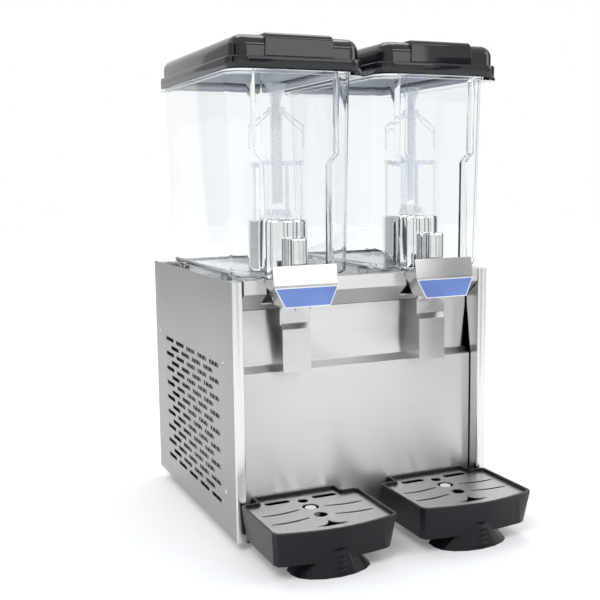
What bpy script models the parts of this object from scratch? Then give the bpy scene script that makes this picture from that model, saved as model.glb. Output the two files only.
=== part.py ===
# Twin-tank refrigerated juice dispenser.
# Two clear tanks on a stainless body, each with a lid, a cooling drum, a spray
# tower, a push tap and a drip tray. Metres, +Z up, front towards -Y.
# Depths are measured back from the front of the columns, offsets from a unit's middle.

import math

import bmesh
import bpy
from mathutils import Matrix, Vector

# Body
BODY_WIDTH = 0.430
BODY_DEPTH = 0.420
TRAY_REACH = 0.148
PANEL_TOP = 0.398
PANEL_FOOT = 0.017
COLUMN_WIDTH = 0.016
COLUMN_DROP = 0.005
COLUMN_WALL_DEPTH = 0.0340
SHEET = 0.0015
GAP = 0.0003
FIT = 0.0005
OVERRUN = 0.010
LAP = 0.0020

# Front panel
NICHE_DEPTH = 0.036
LOWER_DEPTH = 0.022
NICHE_HEIGHT = 0.0835
LEDGE_DROP = 0.009

# Deck
BAND_RISE = 0.001
BAND_HEIGHT = 0.020
LIP_DEPTH = 0.012
LIP_LAP_DEPTH = 0.050
SLOPE_DROP = 0.027
DECK_SINK = 0.010
DECK_EXTRA = 0.0004
NOTCH_HALF = 0.0475
NOTCH_DEPTH = 0.0235
MOTOR_HOLE_RADIUS = 0.036

# Side vents
VENT_DROP = 0.1315
VENT_FOOT = 0.0569
VENT_BACK = 0.063
SLOT_BRIDGE = 0.0145
ROW_BRIDGE = 0.0065
VENT_FRONT = 0.0690
VENT_ROWS = 17
SLOTS_IN_ROW = 5

# Base and feet
BASE_INSET = 0.018
BASE_CLEAR = 0.0002
BASE_WALL = 0.016
FOOT_INSET = 0.013
FOOT_FRONT_INSET = 0.0123
FOOT_REAR_INSET = 0.018
FOOT_RADIUS = 0.0120
FOOT_TIP_RADIUS = 0.0100
FOOT_WAIST = 0.0040

# Rear panel
REAR_INSET = 0.015
REAR_DROP = 0.003
REAR_SLOT_LENGTH = 0.090
REAR_SLOT_PITCH = 0.018
REAR_SLOT_ROWS = 6
REAR_SLOT_INSET = 0.145
REAR_SLOT_FOOT = 0.060
SWITCH_WIDTH = 0.019
SWITCH_HEIGHT = 0.027
SWITCH_DROP = 0.060
SWITCH_INSET = 0.095
SWITCH_PITCH = 0.045
SWITCH_BEZEL = 0.0020
SWITCH_BODY_DEPTH = 0.0160
SWITCH_PROUD = 0.0060
KNOB_INSET = 0.135
KNOB_RADIUS = 0.0150
KNOB_GRIP = 0.0080
KNOB_SHAFT_RADIUS = 0.0030
KNOB_DEPTH = 0.0110
GLAND_INSET = 0.065
GLAND_Z = 0.048
GLAND_RADIUS = 0.0090
GLAND_BORE = 0.0040
GLAND_LENGTH = 0.0120

# Units
TANK_OVERHANG = 0.005
TANK_SPLIT = 0.020
DRUM_DEPTH = 0.072
DRUM_RADIUS = 0.045
DRUM_HEIGHT = 0.095
DRUM_WALL = 0.0015
DRUM_EDGE = 0.0040
TUBE_DEPTH = 0.001

# Tank
FLANGE_LIP = 0.0075
TANK_DRAFT = 0.0055
TANK_FRONT_TOP = 0.003
TANK_FRONT_DRAFT = 0.004
TANK_BACK_DRAFT = 0.007
TANK_SETBACK = 0.085
TANK_CORNER = 0.024
TANK_WALL = 0.0030
TANK_RISE = 0.012
TANK_HEIGHT = 0.2932
TANK_ROUND = 0.010
FLANGE_THICK = 0.0047
FLANGE_FRONT_LIP = 0.008
FLANGE_REAR_LIP = 0.009
PILASTER_FRONT = -0.0190
PILASTER_INSET = 0.0315
PILASTER_STEP = 0.012
PILASTER_WIDE_PART = 0.1142
PILASTER_BEND = 0.014
PILASTER_CHAMFER = 0.0070
PILASTER_ROOT = 0.0400
CHIN_DROP = 0.002
CHIN_DRAFT = 0.001
CHIN_CLEAR = 0.0025
CHIN_BEND = 0.006
GASKET_ROOM = 0.0042
VALVE_HOLE_RADIUS = 0.0085
TAB_INSET = 0.008
TAB_WIDTH = 0.008
TAB_LENGTH = 0.030
TAB_FRONT = 0.055
TAB_REAR_INSET = 0.065
GASKET_HEIGHT_SHARE = 0.8

# Lid
LID_EDGE = 0.001
LID_CORNER = 0.0270
LID_SKIRT = 0.0175
LID_DOME = 0.030
LID_INSET = 0.0055
LID_ROUND = 0.0170
LID_WALL = 0.0030
BLOCK_HALF = 0.0530
BLOCK_PROUD = 0.0020
BLOCK_BACK = 0.0600
BLOCK_RISE = 0.004
BLOCK_ROUND = 0.0060

# Spray tower
RING_INSET = 0.004
TOWER_RING_WIDTH = 0.0050
RING_HEIGHT = 0.007
RING_DROP = 0.070
TOWER_TUBE_RADIUS = 0.0090
TOWER_TUBE_BORE = 0.0065
TUBE_CLEAR = 0.0227
COLLAR_HEIGHT = 0.008
NECK_HEIGHT = 0.017
TOWER_COLLAR_RADIUS = 0.0130
TOWER_NECK_RADIUS = 0.0070
CUP_HEIGHT = 0.018
TOWER_CUP_RADIUS = 0.0170
CUP_DROP = 0.0102
TOWER_CUP_DEEP = 0.6700
TOWER_CUP_WALL = 0.0020
TOWER_LEG = 0.0050
TOWER_LEGS = 4
ARM_OUT = 0.0440
ARM_IN = 0.0110
ARM_DROP = 0.0240
ARM_DEEP = 0.0110
ARM_RADIUS = 0.0016
ARM_END = 0.0350

# Impeller and drive
IMPELLER_RADIUS = 0.0230
IMPELLER_HUB = 0.0070
IMPELLER_PIP = 0.0035
IMPELLER_CLEAR = 0.003
IMPELLER_DISC = 0.0030
IMPELLER_HEIGHT = 0.012
IMPELLER_BLADES = 6
IMPELLER_BLADE = 0.0022
MAGNET_RADIUS = 0.0200
MAGNET_HEIGHT = 0.009
MAGNET_CLEAR = 0.004
MOTOR_RADIUS = 0.0300
MOTOR_DROP = 0.016
MOTOR_CLEAR = 0.027
MOTOR_FLANGE_INSET = 0.006
MOTOR_FLANGE = 0.0030
MOTOR_SHAFT_RADIUS = 0.0035

# Valve
SLEEVE_RADIUS = 0.0160
SLEEVE_WALL = 0.0010
SLEEVE_HEIGHT = 0.0692
SLEEVE_DOME = 0.0030
PLUNGER_SEAL_RADIUS = 0.0120
PLUNGER_SEAL = 0.0057
PLUNGER_RADIUS = 0.0090
PLUNGER_GUIDE = 0.025
PLUNGER_SPIGOT = 0.0045
SPIGOT_HEIGHT = 0.025
PLUNGER_ROD = 0.0030
SPRING_RADIUS = 0.0075
SPRING_WIRE = 0.0008
SPRING_SEAT = 0.0011
SPRING_HEAD = 0.0053
SPRING_TURNS = 5
SPRING_TURN_STEPS = 9
NOZZLE_DEPTH = -0.0170
NOZZLE_RADIUS = 0.0070
NOZZLE_BORE = 0.0050
NOZZLE_REACH = 0.020
NOZZLE_COLLAR = 0.0085
NOZZLE_NECK = 0.0045

# Tap housing and plaque
HOUSING_HALF = 0.0500
HOUSING_TOE_HALF = 0.0360
HOUSING_BAND = 0.0275
HOUSING_TOP_DEPTH = -0.0300
HOUSING_DROP = 0.0055
HOUSING_CREASE_DEPTH = -0.0350
HOUSING_TOE = 0.0305
HOUSING_FOOT_DEPTH = -0.0385
HOUSING_CHEEK = 0.0085
HOUSING_BACK = -0.0006
PLAQUE_THICK = 0.0012
PLAQUE_DROP = 0.003
PLAQUE_EDGE = 0.001

# Lever
PAD_HALF = 0.0225
PAD_DEPTH = 0.0020
PAD_HEIGHT = 0.0645
JOG_HEIGHT = 0.0085
ARM_PLATE = 0.039
ARM_HALF = 0.0245
ARM_DEPTH = 0.0070
LIP_DROP = 0.008
LIP_FRONT = -0.0020
EAR_FRONT = -0.0105
EAR_RISE = 0.0045
EAR_DROP = 0.005
EAR_LENGTH = 0.025
PIN_DEPTH = -0.0065
PIN_RISE = 0.017
PIN_RADIUS = 0.0015
PIN_CLEAR = 0.0004
SLOT_WIDTH = 0.0022
SLOT_TALL = 0.007
SLOT_DROP = 0.015

# Drip tray
TRAY_TOP = 0.0720
TRAY_FOOT = 0.0220
TRAY_FLOOR = 0.0255
TRAY_SPLIT = 0.020
TRAY_DRAFT = 0.0055
TRAY_NOTCH = 0.027
TRAY_CLEAR = 0.0008
TRAY_SHOULDER = -0.0030
TRAY_BOW = 0.023
TRAY_FOOT_IN = 0.0090
TRAY_WALL = 0.0030
TRAY_ROUND = 0.0120
TRAY_NOTCH_ROUND = 0.0040
TRAY_REBATE = 0.0065
TRAY_LEDGE_WIDTH = 0.0045
GRIP_SETBACK = 0.039
GRIP_HALF = 0.0600
GRIP_TOP_HALF = 0.0255
GRIP_REACH = 0.0350
GRIP_TOP_REACH = 0.0335
GRIP_TOP = 0.0380
GRIP_ROOT = 0.0200
RIB_GROOVES = 4
RIB_HALF = 0.0225
RIB_PITCH = 0.0080
RIB_CUT = 0.0040
RIB_DEEP = 0.0022
RIB_FOOT = 0.0035

# Grille
GRILLE_THICK = 0.0015
GRILLE_CLEAR = 0.0006
REAR_SLOT_IN = 0.018
REAR_SLOT_OUT = 0.058
REAR_SLOT_DEPTH = -0.004
REAR_SLOT_HALF = 0.0060
HOLE_ONE_DEPTH = -0.012
HOLE_ONE_RADIUS = 0.0080
HOLE_TWO_DEPTH = -0.040
HOLE_TWO_RADIUS = 0.0125
HOLE_THREE_DEPTH = -0.076
HOLE_THREE_RADIUS = 0.0100
ARC_SLOT_IN = 0.019
ARC_SLOT_OUT = 0.080
ARC_SLOT_HALF = 0.0026
ARC_SLOT_SAG = 0.0060
ARC_ONE_DEPTH = -0.0450
ARC_TWO_DEPTH = -0.0815
FIN_HALF = 0.0260
FIN_WAIST = 0.0060
FIN_SETBACK = 0.030
FIN_HEIGHT = 0.019
FIN_BODY = 0.0055
FLOAT_RADIUS = 0.0085
FLOAT_STEM = 0.0040
FLOAT_BELLY = 0.0140
FLOAT_BULK = 0.0175
FLOAT_TRAVEL = 0.0083
FLOAT_PROUD = 0.0007

# Cooling unit
COMPRESSOR_INSET = 0.110
COMPRESSOR_SETBACK = 0.175
COMPRESSOR_RADIUS = 0.0560
COMPRESSOR_BOWL = 0.026
PIPE_CLEAR = 0.100
COMPRESSOR_CROWN = 0.030
COMPRESSOR_PLATE_HALF = 0.0600
COMPRESSOR_PLATE = 0.0040
CONDENSER_INSET = 0.021
CONDENSER_THICK = 0.0340
CONDENSER_FRONT = 0.0700
CONDENSER_SETBACK = 0.045
CONDENSER_DROP = 0.098
CONDENSER_FINS = 18
FIN_CUT_SHARE = 0.62
FIN_CUT_DEPTH = 0.0120
FAN_CLEAR = 0.015
FAN_EDGE = 0.0505
FAN_HUB_RADIUS = 0.0200
FAN_HUB_HALF = 0.0100
FAN_BLADES = 5
FAN_BLADE_THICK = 0.0016
FAN_BLADE_HALF = 0.0240
FAN_PITCH_DEG = 28
FAN_BORE = 0.0032
FAN_MOTOR_RADIUS = 0.0300
FAN_MOTOR_CLEAR = 0.015
FAN_MOTOR_LENGTH = 0.045
FAN_LEG_HALF = 0.0120
DRIER_X = 0.0100
DRIER_SETBACK = 0.075
DRIER_RADIUS = 0.0110
DRIER_LENGTH = 0.101
DRIER_END_RADIUS = 0.0030
PIPE_RADIUS = 0.0030
PIPE_BEND = 0.0180
PIPE_DROP = 0.040

# Smoothness
DRUM_STEPS = 32
TURN_STEPS = 24
SMALL_TURN_STEPS = 16
CORNER_STEPS = 4
ROUND_STEPS = 3
PIPE_RESOLUTION = 1

# Shares
EDGE_ANGLE = 0.6
TANK_EDGE_ANGLE = 0.5
FOLD_SHARE = 0.6
FOOT_FLARE_SHARE = 1.5
ROCKER_TAPER_SHARE = 0.6
KNOB_GRIP_SHARE = 0.6
GLAND_NOSE_SHARE = 0.75
BLADE_ROOT_SHARE = 0.7
TAB_SINK_SHARE = 0.7
LEG_SINK_SHARE = 0.6
ARM_SINK_SHARE = 0.6
VANE_ROOT_SHARE = 0.5
DOME_CHEEK_SHARE = 0.7
DOME_SAG_SHARE = 0.35
ROUND_NEAR_SHARE = 0.3
ROUND_FAR_SHARE = 0.7
BACK_TUCK_SHARE = 0.2
SHOULDER_TUCK_SHARE = 0.5
FRONT_TUCK_SHARE = 1.4
SLOT_SAG_SHARE = 0.75
SLOT_TAPER_SHARE = 0.5

# Derived sizes
COLUMN_FOOT = PANEL_FOOT - COLUMN_DROP
BAND_TOP = PANEL_TOP + BAND_RISE
BAND_FOOT = BAND_TOP - BAND_HEIGHT
SLOPE_BACK = NICHE_DEPTH - FIT
SLOPE_FOOT = BAND_FOOT - SLOPE_DROP
DECK_TOP = PANEL_TOP - DECK_SINK
DECK_RIM_TOP = PANEL_TOP - SHEET
SLOT_PITCH = (BODY_DEPTH - VENT_FRONT - VENT_BACK + SLOT_BRIDGE) / SLOTS_IN_ROW
VENT_TOP = PANEL_TOP - VENT_DROP
BASE_FRONT = LOWER_DEPTH + BASE_CLEAR
FOOT_FRONT = BASE_FRONT + FOOT_FRONT_INSET
REAR_DEPTH = BODY_DEPTH - REAR_INSET
REAR_TOP = DECK_TOP - REAR_DROP
SWITCH_Z = REAR_TOP - SWITCH_DROP
DRUM_TOP = DECK_TOP + DRUM_HEIGHT
DRUM_FLANGE_RADIUS = DRUM_RADIUS
MOTOR_FLANGE_RADIUS = DRUM_RADIUS - MOTOR_FLANGE_INSET
TANK_FRONT_FOOT = TANK_FRONT_TOP + TANK_FRONT_DRAFT
TANK_BACK_FOOT = BODY_DEPTH - TANK_SETBACK
TANK_FLOOR = DECK_TOP + TANK_RISE
TANK_TOP = TANK_FLOOR + TANK_HEIGHT
FLANGE_FOOT = TANK_TOP - FLANGE_THICK
FLANGE_FRONT = PILASTER_FRONT - FLANGE_FRONT_LIP
PILASTER_BEND_TOP = TANK_TOP - PILASTER_WIDE_PART
PILASTER_BEND_FOOT = PILASTER_BEND_TOP - PILASTER_BEND
CHIN_FOOT = DECK_TOP - CHIN_DROP
CHIN_WAIST_HALF = NOTCH_HALF - CHIN_CLEAR
CHIN_WAIST = TANK_FLOOR
CHIN_SHOULDER = CHIN_WAIST + CHIN_BEND
DRUM_HOLE_RADIUS = DRUM_RADIUS + GASKET_ROOM
TAB_BACK = TANK_BACK_FOOT - TAB_REAR_INSET
LID_FRONT = FLANGE_FRONT + LID_EDGE
LID_FOOT = TANK_TOP + GAP
LID_STEP = LID_FOOT + LID_SKIRT
LID_TOP = LID_STEP + LID_DOME
BLOCK_TOP = LID_TOP + BLOCK_RISE
TOWER_FOOT = DRUM_TOP + GAP
TOWER_RING_RADIUS = DRUM_RADIUS - RING_INSET
TOWER_TUBE_FOOT = TOWER_FOOT + TUBE_CLEAR
TOWER_CUP_TOP = TANK_TOP - CUP_DROP
IMPELLER_FOOT = DRUM_TOP + IMPELLER_CLEAR
IMPELLER_TOP = IMPELLER_FOOT + IMPELLER_HEIGHT
MAGNET_TOP = DRUM_TOP - MAGNET_CLEAR
MOTOR_FOOT = DECK_TOP - MOTOR_DROP
MOTOR_TOP = DRUM_TOP - MOTOR_CLEAR
SLEEVE_FOOT = CHIN_FOOT + TANK_WALL + GAP
SLEEVE_TOP = SLEEVE_FOOT + SLEEVE_HEIGHT
PLUNGER_SEAL_FOOT = SLEEVE_FOOT
PLUNGER_SEAL_TOP = PLUNGER_SEAL_FOOT + PLUNGER_SEAL
PLUNGER_SHOULDER = PLUNGER_SEAL_TOP + PLUNGER_GUIDE
PLUNGER_TOP = PLUNGER_SHOULDER + SPIGOT_HEIGHT
SPRING_FOOT = PLUNGER_SHOULDER + SPRING_SEAT
SPRING_TOP = SLEEVE_TOP - SPRING_HEAD
NOZZLE_FOOT = CHIN_FOOT - NOZZLE_REACH
NOZZLE_COLLAR_FOOT = CHIN_FOOT - NOZZLE_NECK
HOUSING_CREASE = BAND_TOP - HOUSING_DROP
HOUSING_FOOT = HOUSING_CREASE - HOUSING_TOE
HOUSING_CHEEK_TOP = HOUSING_CREASE + HOUSING_CHEEK
PLAQUE_TOP = HOUSING_CREASE - PLAQUE_DROP
PLAQUE_FOOT = HOUSING_FOOT - PLAQUE_EDGE
PLAQUE_HALF_TOP = HOUSING_HALF - FIT
PLAQUE_HALF_FOOT = HOUSING_TOE_HALF - FIT
PIN_Z = HOUSING_FOOT + PIN_RISE
TRAY_BACK = LOWER_DEPTH - TRAY_CLEAR
TRAY_CORNER = TRAY_BOW - TRAY_REACH
TRAY_LEDGE = TRAY_TOP - TRAY_REBATE
GRIP_DEPTH = GRIP_SETBACK - TRAY_REACH
GRILLE_FOOT = TRAY_LEDGE + GAP
FIN_DEPTH = FIN_SETBACK - TRAY_REACH
FIN_TOP = FIN_DEPTH + FIN_HEIGHT
FIN_SHOULDER = FIN_DEPTH + FIN_BODY
FIN_FOOT = FIN_DEPTH - FIN_BODY
FLOAT_FOOT = TRAY_FLOOR + GAP
FLOAT_BELLY_TOP = GRILLE_FOOT - FLOAT_TRAVEL
FLOAT_TOP = GRILLE_FOOT + FLOAT_PROUD
COMPRESSOR_DEPTH = REAR_DEPTH - COMPRESSOR_SETBACK
CONDENSER_BACK = REAR_DEPTH - CONDENSER_SETBACK
CONDENSER_TOP = DECK_TOP - CONDENSER_DROP
FAN_DEPTH = (CONDENSER_FRONT + CONDENSER_BACK) / 2
FAN_SHAFT = FAN_BORE - FIT
DRIER_DEPTH = REAR_DEPTH - DRIER_SETBACK
PIPE_RISE = CONDENSER_TOP - PIPE_DROP
FRONT = TRAY_REACH - (BODY_DEPTH + TRAY_REACH) / 2
HALF = BODY_WIDTH / 2
COLUMN_INNER = HALF - COLUMN_WIDTH
COLUMN_WALL = COLUMN_INNER - SHEET
PANEL_HALF = COLUMN_WALL - GAP
INSIDE = HALF - SHEET - FIT
BASE_TOP = PANEL_FOOT + SHEET
NICHE_TOP = SLOPE_FOOT - FIT
DECK_BACK = REAR_DEPTH - LAP
SLOT_LENGTH = SLOT_PITCH - SLOT_BRIDGE
ROW_PITCH = (VENT_TOP - VENT_FOOT) / (VENT_ROWS - 1)
BASE_HALF = HALF - BASE_INSET
BASE_BACK = REAR_DEPTH - LAP
FOOT_X = BASE_HALF - FOOT_INSET
FOOT_BACK = BASE_BACK - FOOT_REAR_INSET
REAR_SLOT_X = HALF - REAR_SLOT_INSET
SWITCH_FIRST_X = SWITCH_INSET - HALF
KNOB_X = HALF - KNOB_INSET
GLAND_X = GLAND_INSET - HALF
UNIT_X = (HALF + TANK_OVERHANG + TANK_SPLIT / 2) / 2
TANK_BACK_TOP = TANK_BACK_FOOT + TANK_BACK_DRAFT
FLANGE_HALF = (HALF + TANK_OVERHANG - TANK_SPLIT / 2) / 2
FLANGE_BACK = TANK_BACK_TOP + FLANGE_REAR_LIP
CHIN_HALF = CHIN_WAIST_HALF - CHIN_DRAFT
LID_HALF = FLANGE_HALF - LID_EDGE
LID_BACK = FLANGE_BACK - LID_EDGE
TOWER_NECK_TOP = TOWER_CUP_TOP - CUP_HEIGHT
MAGNET_FOOT = MAGNET_TOP - MAGNET_HEIGHT
HOUSING_TOP = HOUSING_CREASE + HOUSING_BAND
ARM_PLATE_TOP = PIN_Z - LIP_DROP
EAR_TOP = PIN_Z + EAR_RISE
EAR_FOOT = PIN_Z - EAR_DROP
EAR_LOW = EAR_FOOT - EAR_LENGTH
SLOT_TOP = ARM_PLATE_TOP - SLOT_DROP
TRAY_HALF = UNIT_X - TRAY_SPLIT
TRAY_FOOT_HALF = TRAY_HALF - TRAY_DRAFT
TRAY_NECK = TRAY_HALF - TRAY_NOTCH
FLOAT_BELLY_FOOT = FLOAT_BELLY_TOP - FLOAT_BULK
COMPRESSOR_X = HALF - COMPRESSOR_INSET
COMPRESSOR_FOOT = BASE_TOP + FIT
COMPRESSOR_BELLY = COMPRESSOR_FOOT + COMPRESSOR_BOWL
COMPRESSOR_SHOULDER = PIPE_RISE - PIPE_CLEAR
COMPRESSOR_TOP = COMPRESSOR_SHOULDER + COMPRESSOR_CROWN
CONDENSER_X = CONDENSER_INSET - HALF
CONDENSER_FOOT = BASE_TOP + FIT
FAN_X = CONDENSER_X + CONDENSER_THICK + FAN_CLEAR
FAN_Z = (CONDENSER_FOOT + CONDENSER_TOP) / 2
FAN_RADIUS = (CONDENSER_TOP - CONDENSER_FOOT) / 2 - FAN_EDGE
FAN_MOTOR_FRONT = FAN_X + FAN_MOTOR_CLEAR
FAN_MOTOR_BACK = FAN_MOTOR_FRONT + FAN_MOTOR_LENGTH
FAN_LEG_FOOT = BASE_TOP + FIT
DRIER_FOOT = BASE_TOP + FIT
DRIER_TOP = DRIER_FOOT + DRIER_LENGTH
LEDGE_TOP = NICHE_TOP - NICHE_HEIGHT
LEDGE_FOOT = LEDGE_TOP - LEDGE_DROP
SLOT_HEIGHT = ROW_PITCH - ROW_BRIDGE
TANK_HALF_TOP = FLANGE_HALF - FLANGE_LIP
TANK_HALF_FOOT = TANK_HALF_TOP - TANK_DRAFT
PILASTER_WIDE = TANK_HALF_TOP - PILASTER_INSET
PILASTER_NARROW = PILASTER_WIDE - PILASTER_STEP
TAB_X = TANK_HALF_FOOT - TAB_INSET
TOWER_COLLAR_TOP = TOWER_NECK_TOP - NECK_HEIGHT
ARM_TOP = TOWER_COLLAR_TOP - LAP
ROD_FOOT = ARM_PLATE_TOP + GAP
JOG_TOP = ARM_PLATE_TOP - ARM_PLATE
SLOT_FOOT = SLOT_TOP - SLOT_TALL
TOWER_COLLAR_FOOT = TOWER_COLLAR_TOP - COLLAR_HEIGHT
PAD_TOP = JOG_TOP - JOG_HEIGHT
TOWER_RING_TOP = TOWER_COLLAR_FOOT - RING_DROP
PAD_FOOT = PAD_TOP - PAD_HEIGHT
TOWER_RING_FOOT = TOWER_RING_TOP - RING_HEIGHT


def material(name, colour, roughness, metallic=0.0, transmission=0.0):
    made = bpy.data.materials.new(name)
    made.use_nodes = True
    shader = made.node_tree.nodes["Principled BSDF"]
    shader.inputs["Base Color"].default_value = (*colour, 1.0)
    shader.inputs["Roughness"].default_value = roughness
    shader.inputs["Metallic"].default_value = metallic
    shader.inputs["Transmission Weight"].default_value = transmission
    made.diffuse_color = (*colour, 1.0)
    return made


def clear_scene():
    for obj in list(bpy.data.objects):
        bpy.data.objects.remove(obj, do_unlink=True)
    parts = bpy.data.collections.new("juice_dispenser")
    cutters = bpy.data.collections.new("cutters")
    for group in (parts, cutters):
        bpy.context.scene.collection.children.link(group)
    return parts, cutters


PARTS, CUTTERS = clear_scene()


# Working tools

def place(mesh, name):
    """A new object on the origin that holds the mesh."""
    obj = bpy.data.objects.new(name, mesh)
    PARTS.objects.link(obj)
    return obj


def from_bmesh(name, bm):
    bmesh.ops.recalc_face_normals(bm, faces=bm.faces)
    mesh = bpy.data.meshes.new(name)
    bm.to_mesh(mesh)
    bm.free()
    return place(mesh, name)


def block(name, low, high):
    """A box between two opposite corners."""
    bm = bmesh.new()
    bmesh.ops.create_cube(bm, size=1.0)
    low, high = Vector(low), Vector(high)
    bmesh.ops.scale(bm, vec=high - low, verts=bm.verts)
    bmesh.ops.translate(bm, vec=(low + high) / 2, verts=bm.verts)
    return from_bmesh(name, bm)


def rod(name, centre, radius, low, high, axis="Z", steps=SMALL_TURN_STEPS, tip=None):
    """A cylinder or cone along one axis, between two heights on that axis."""
    bm = bmesh.new()
    bmesh.ops.create_cone(bm, cap_ends=True, segments=steps, radius1=radius,
                          radius2=radius if tip is None else tip, depth=high - low)
    bmesh.ops.translate(bm, vec=(0, 0, (low + high) / 2), verts=bm.verts)
    if axis == "X":
        bmesh.ops.rotate(bm, matrix=Matrix.Rotation(math.pi / 2, 3, "Y"), verts=bm.verts)
    if axis == "Y":
        bmesh.ops.rotate(bm, matrix=Matrix.Rotation(-math.pi / 2, 3, "X"), verts=bm.verts)
    bmesh.ops.translate(bm, vec=centre, verts=bm.verts)
    return from_bmesh(name, bm)


def outline_solid(name, loops, thickness, frame):
    """A flat plate with holes: the first loop is its edge, and frame turns XY into place."""
    curve = bpy.data.curves.new(name, "CURVE")
    curve.dimensions = "2D"
    curve.fill_mode = "BOTH"
    curve.extrude = thickness / 2
    for loop in loops:
        spline = curve.splines.new("POLY")
        spline.points.add(len(loop) - 1)
        for point, (across, along) in zip(spline.points, loop):
            point.co = (across, along, 0, 1)
        spline.use_cyclic_u = True
    drawn = bpy.data.objects.new(name + "_outline", curve)
    PARTS.objects.link(drawn)
    bpy.context.view_layer.update()
    mesh = bpy.data.meshes.new_from_object(drawn)
    bpy.data.objects.remove(drawn, do_unlink=True)
    bm = bmesh.new()
    bm.from_mesh(mesh)
    bmesh.ops.remove_doubles(bm, verts=bm.verts, dist=GAP / 100)
    bmesh.ops.transform(bm, matrix=frame, verts=bm.verts)
    return from_bmesh(name, bm)


def flat_frame(middle):
    """Outline in plan, the plate's middle at this height."""
    return Matrix.Translation((0, 0, middle))


def side_frame(middle):
    """Outline (depth, height), the plate's middle at this x."""
    turn = Matrix(((0, 0, 1, middle), (1, 0, 0, 0), (0, 1, 0, 0), (0, 0, 0, 1)))
    return turn


def front_frame(middle):
    """Outline (x, height), the plate's middle at this y."""
    turn = Matrix(((1, 0, 0, 0), (0, 0, -1, middle), (0, 1, 0, 0), (0, 0, 0, 1)))
    return turn


def profile_bar(name, profile, left, right):
    """A (depth, height) outline drawn out along x."""
    loop = [(FRONT + depth, height) for depth, height in profile]
    return outline_solid(name, [loop], right - left, side_frame((left + right) / 2))


def turned(name, profile, centre, steps=TURN_STEPS):
    """A (radius, height) outline turned about an upright axis."""
    mesh = bpy.data.meshes.new(name)
    points = [(radius, 0, height) for radius, height in profile]
    closed = profile[0][0] > 0 or profile[-1][0] > 0
    count = len(points)
    edges = [(i, (i + 1) % count) for i in range(count if closed else count - 1)]
    mesh.from_pydata(points, edges, [])
    obj = place(mesh, name)
    screw = obj.modifiers.new("turn", "SCREW")
    screw.steps = steps
    screw.render_steps = steps
    screw.use_merge_vertices = True
    screw.merge_threshold = GAP / 10
    screw.use_normal_calculate = True
    bpy.context.view_layer.update()
    held = bpy.data.meshes.new_from_object(
        obj.evaluated_get(bpy.context.evaluated_depsgraph_get()))
    bpy.data.objects.remove(obj, do_unlink=True)
    bm = bmesh.new()
    bm.from_mesh(held)
    bmesh.ops.remove_doubles(bm, verts=bm.verts, dist=GAP / 30)
    bmesh.ops.translate(bm, vec=centre, verts=bm.verts)
    return from_bmesh(name, bm)


def loft(name, stations):
    """An outline drawn up through stations of (height, outline), all with as many points."""
    bm = bmesh.new()
    height, outline = stations[0]
    base = [bm.verts.new((x, y, height)) for x, y in outline]
    face = bm.faces.new(base)
    for height, outline in stations[1:]:
        face = bmesh.ops.extrude_discrete_faces(bm, faces=[face])["faces"][0]
        for vert, (x, y) in zip(face.verts, outline):
            vert.co = (x, y, height)
    bm.faces.new(base)
    bmesh.ops.connect_verts_nonplanar(bm, angle_limit=0, faces=bm.faces)
    return from_bmesh(name, bm)


def sweep(name, path, radius, resolution=PIPE_RESOLUTION):
    """A round bar along a path of points."""
    curve = bpy.data.curves.new(name, "CURVE")
    curve.dimensions = "3D"
    curve.bevel_depth = radius
    curve.bevel_resolution = resolution
    curve.use_fill_caps = True
    spline = curve.splines.new("POLY")
    spline.points.add(len(path) - 1)
    for point, where in zip(spline.points, path):
        point.co = (*where, 1)
    drawn = bpy.data.objects.new(name + "_path", curve)
    PARTS.objects.link(drawn)
    bpy.context.view_layer.update()
    mesh = bpy.data.meshes.new_from_object(drawn)
    bpy.data.objects.remove(drawn, do_unlink=True)
    bm = bmesh.new()
    bm.from_mesh(mesh)
    bmesh.ops.remove_doubles(bm, verts=bm.verts, dist=GAP / 30)
    return from_bmesh(name, bm)


def boolean(target, other, operation):
    """Cuts or joins with the EXACT solver; the other shape becomes a hidden helper."""
    step = target.modifiers.new(other.name, "BOOLEAN")
    step.operation = operation
    step.solver = "EXACT"
    step.object = other
    for group in list(other.users_collection):
        group.objects.unlink(other)
    CUTTERS.objects.link(other)
    other.hide_render = True
    other.display_type = "WIRE"


def cut(target, *others):
    for other in others:
        boolean(target, other, "DIFFERENCE")


def join(target, *others):
    for other in others:
        boolean(target, other, "UNION")


def finish(obj, look, pivot=None, angle=EDGE_ANGLE):
    """Gives a piece its material and smooth shading, and puts its origin on its joint."""
    obj.data.materials.clear()
    obj.data.materials.append(look)
    obj.data.shade_smooth()
    obj.data.set_sharp_from_angle(angle=angle)
    if pivot is not None:
        obj.data.transform(Matrix.Translation(-Vector(pivot)))
        obj.location = pivot
    return obj


def arc_points(centre, radius, start, end, steps):
    points = []
    for i in range(steps + 1):
        turn = start + (end - start) * i / steps
        points.append((centre[0] + radius * math.cos(turn), centre[1] + radius * math.sin(turn)))
    return points


def rounded_plan(x, half, front, back, corner, steps=CORNER_STEPS):
    """A rounded rectangle in plan about x, between two depths."""
    near, far = FRONT + front, FRONT + back
    left, right = x - half, x + half
    points = arc_points((right - corner, near + corner), corner, -math.pi / 2, 0, steps)
    points += arc_points((right - corner, far - corner), corner, 0, math.pi / 2, steps)
    points += arc_points((left + corner, far - corner), corner, math.pi / 2, math.pi, steps)
    points += arc_points((left + corner, near + corner), corner, math.pi, math.pi * 1.5, steps)
    return points


def circle(centre, radius, steps=SMALL_TURN_STEPS):
    return arc_points(centre, radius, 0, math.tau * (steps - 1) / steps, steps - 1)


def slot_loop(middle, height, length, tall):
    """A slot with blunt ends, in an outline's own plane."""
    near, far = middle - length / 2, middle + length / 2
    low, high = height - tall / 2, height + tall / 2
    blunt = tall / 3
    return [(near + blunt, low), (far - blunt, low), (far, height), (far - blunt, high),
            (near + blunt, high), (near, height)]


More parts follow.
